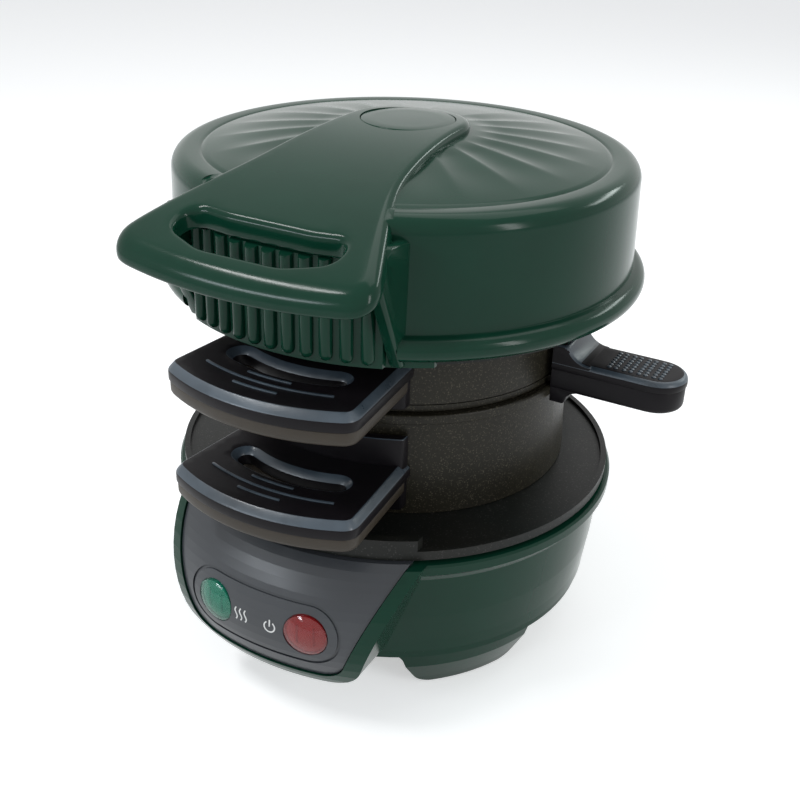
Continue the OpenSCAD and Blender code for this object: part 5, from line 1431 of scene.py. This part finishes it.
def lens_place(side):
    """The frame of a lens: its axis points outwards, and Y points up."""
    turn = math.asin(LENS_X / NOSE_R) * side
    out = Vector((math.sin(turn), -math.cos(turn), 0))
    across = Vector((math.cos(turn), math.sin(turn), 0))
    centre = BASE_AXIS.to_2d().to_3d() + out * LENS_SEAT + Vector((0, 0, LENS_Z))
    return Matrix((across, Vector((0, 0, 1)), out)).transposed().to_4x4(), centre


def set_in(obj, side):
    turn, centre = lens_place(side)
    obj.data.transform(Matrix.Translation(centre) @ turn)
    return obj


def lens_profile():
    ball = (LENS_R ** 2 + LENS_DOME ** 2) / (2 * LENS_DOME)
    spread = math.degrees(math.asin(LENS_R / ball))
    angles = [math.radians(spread * k / LENS_STEPS) for k in range(LENS_STEPS + 1)]
    crown = LENS_LIP + LENS_DOME - ball
    outer = [(ball * math.sin(a), crown + ball * math.cos(a)) for a in angles]
    profile = outer + [(LENS_R, 0), (LENS_R - LENS_WALL, 0)]
    profile += [(r * (1 - LENS_WALL / LENS_R), h - LENS_WALL) for r, h in reversed(outer)]
    profile[0] = (0, profile[0][1])
    profile[-1] = (0, profile[-1][1])
    return profile


def back_profile():
    inner_r = LENS_R - LENS_WALL - BACK_GAP
    stem_r = inner_r - BACK_STEM_IN
    stem = [(0, BACK_LOW), (stem_r, BACK_LOW), (stem_r, BACK_SEAT), (inner_r, BACK_SEAT)]
    return stem + [(inner_r * share, BACK_FACE + h * MM) for share, h in BACK_DOME]


def make_lens(name, side, node, slot, cap_finish, back_finish):
    own_axis = Vector((0, 0, 0))
    cover = set_in(turned(name + "_cap", lens_profile(), own_axis, 96), side)
    finish_piece(cover, "base", cap_finish, slot, node)
    back = set_in(turned(name + "_back", back_profile(), own_axis, 96), side)
    finish_piece(back, "base", back_finish, slot)
    # each slot is a raised dark bar on the reflector's face, whose colour is painted shade where the
    # real slot is an opening
    for number, s in enumerate((-1, 1)):
        corners = rectangle(s * SLOT_APART, SLOT_HALF_W, -SLOT_HALF_L, SLOT_HALF_L)
        shape = rounded(corners, [SLOT_END_R] * 4, 4)
        bar = prism(f"{name}_slot_{number}", shape, BACK_FACE, BACK_FACE + SLOT_H)
        finish_piece(set_in(bar, side), "base", LENS_SLOT_SHADE, slot)


make_lens("preheat", -1, "preheat_lens", "green_lens", GREEN_LENS, GREEN_BACK)
make_lens("power", 1, "power_lens", "red_lens", RED_LENS, RED_BACK)

# PICTOGRAMS on the panel, where the appliance has its two words

MARK_W = 0.42 * MM
MARK_LOW = -0.05 * MM
MARK_HIGH = 0.06 * MM
MARK_Z = 35.9 * MM
WAVE_X = -5.5 * MM
WAVE_COUNT = 3
WAVE_PITCH = 1.7 * MM
WAVE_SWING = 0.42 * MM
WAVE_H = 4.0 * MM
WAVE_STEPS = 24
POWER_X = 4.7 * MM
POWER_R = 1.75 * MM
POWER_DROP = 0.2 * MM
# Heights of the power sign's bar over the marks' middle
POWER_BAR = [2.1, 1.0, -0.1]


def on_panel(x, z, lift):
    face = NOSE_ROUND - PANEL_DROP
    reach = NOSE_R - NOSE_ROUND + math.sqrt(face ** 2 - (z - NOSE_Z) ** 2) + lift
    return (BASE_AXIS.x + x, BASE_AXIS.y - math.sqrt(reach ** 2 - x ** 2), z)


def stroke(name, line):
    """A thin raised ribbon along a line of points on the panel."""
    line = [Vector(p) for p in line]
    left, right = [], []
    for i, p in enumerate(line):
        along = (line[min(i + 1, len(line) - 1)] - line[max(i - 1, 0)]).normalized()
        side = Vector((-along.y, along.x)) * MARK_W / 2
        left.append(p + side)
        right.append(p - side)
    outline = left + list(reversed(right))
    mark = prism(name, [tuple(p) for p in outline], MARK_LOW, MARK_HIGH, on_panel)
    finish_piece(mark, "base", MARK, "panel_plastic")


def make_marks():
    for i in range(WAVE_COUNT):
        x = WAVE_X + (i - 1) * WAVE_PITCH
        line = [
            (x + WAVE_SWING * math.sin(2 * math.pi * k / WAVE_STEPS),
             MARK_Z + WAVE_H * (k / WAVE_STEPS - 0.5))
            for k in range(WAVE_STEPS + 1)
        ]
        stroke(f"mark_wave_{i}", line)
    # the ring is open at its top, where the bar stands
    stroke("mark_power_ring", arc((POWER_X, MARK_Z - POWER_DROP), POWER_R, 125, 415, 32))
    stroke("mark_power_bar", [(POWER_X, MARK_Z + up * MM) for up in POWER_BAR])


make_marks()

# SCENE

finish_nodes()
add_camera()
add_floor()
add_world()
add_lights()

scene = bpy.context.scene
scene.view_settings.view_transform = "Standard"
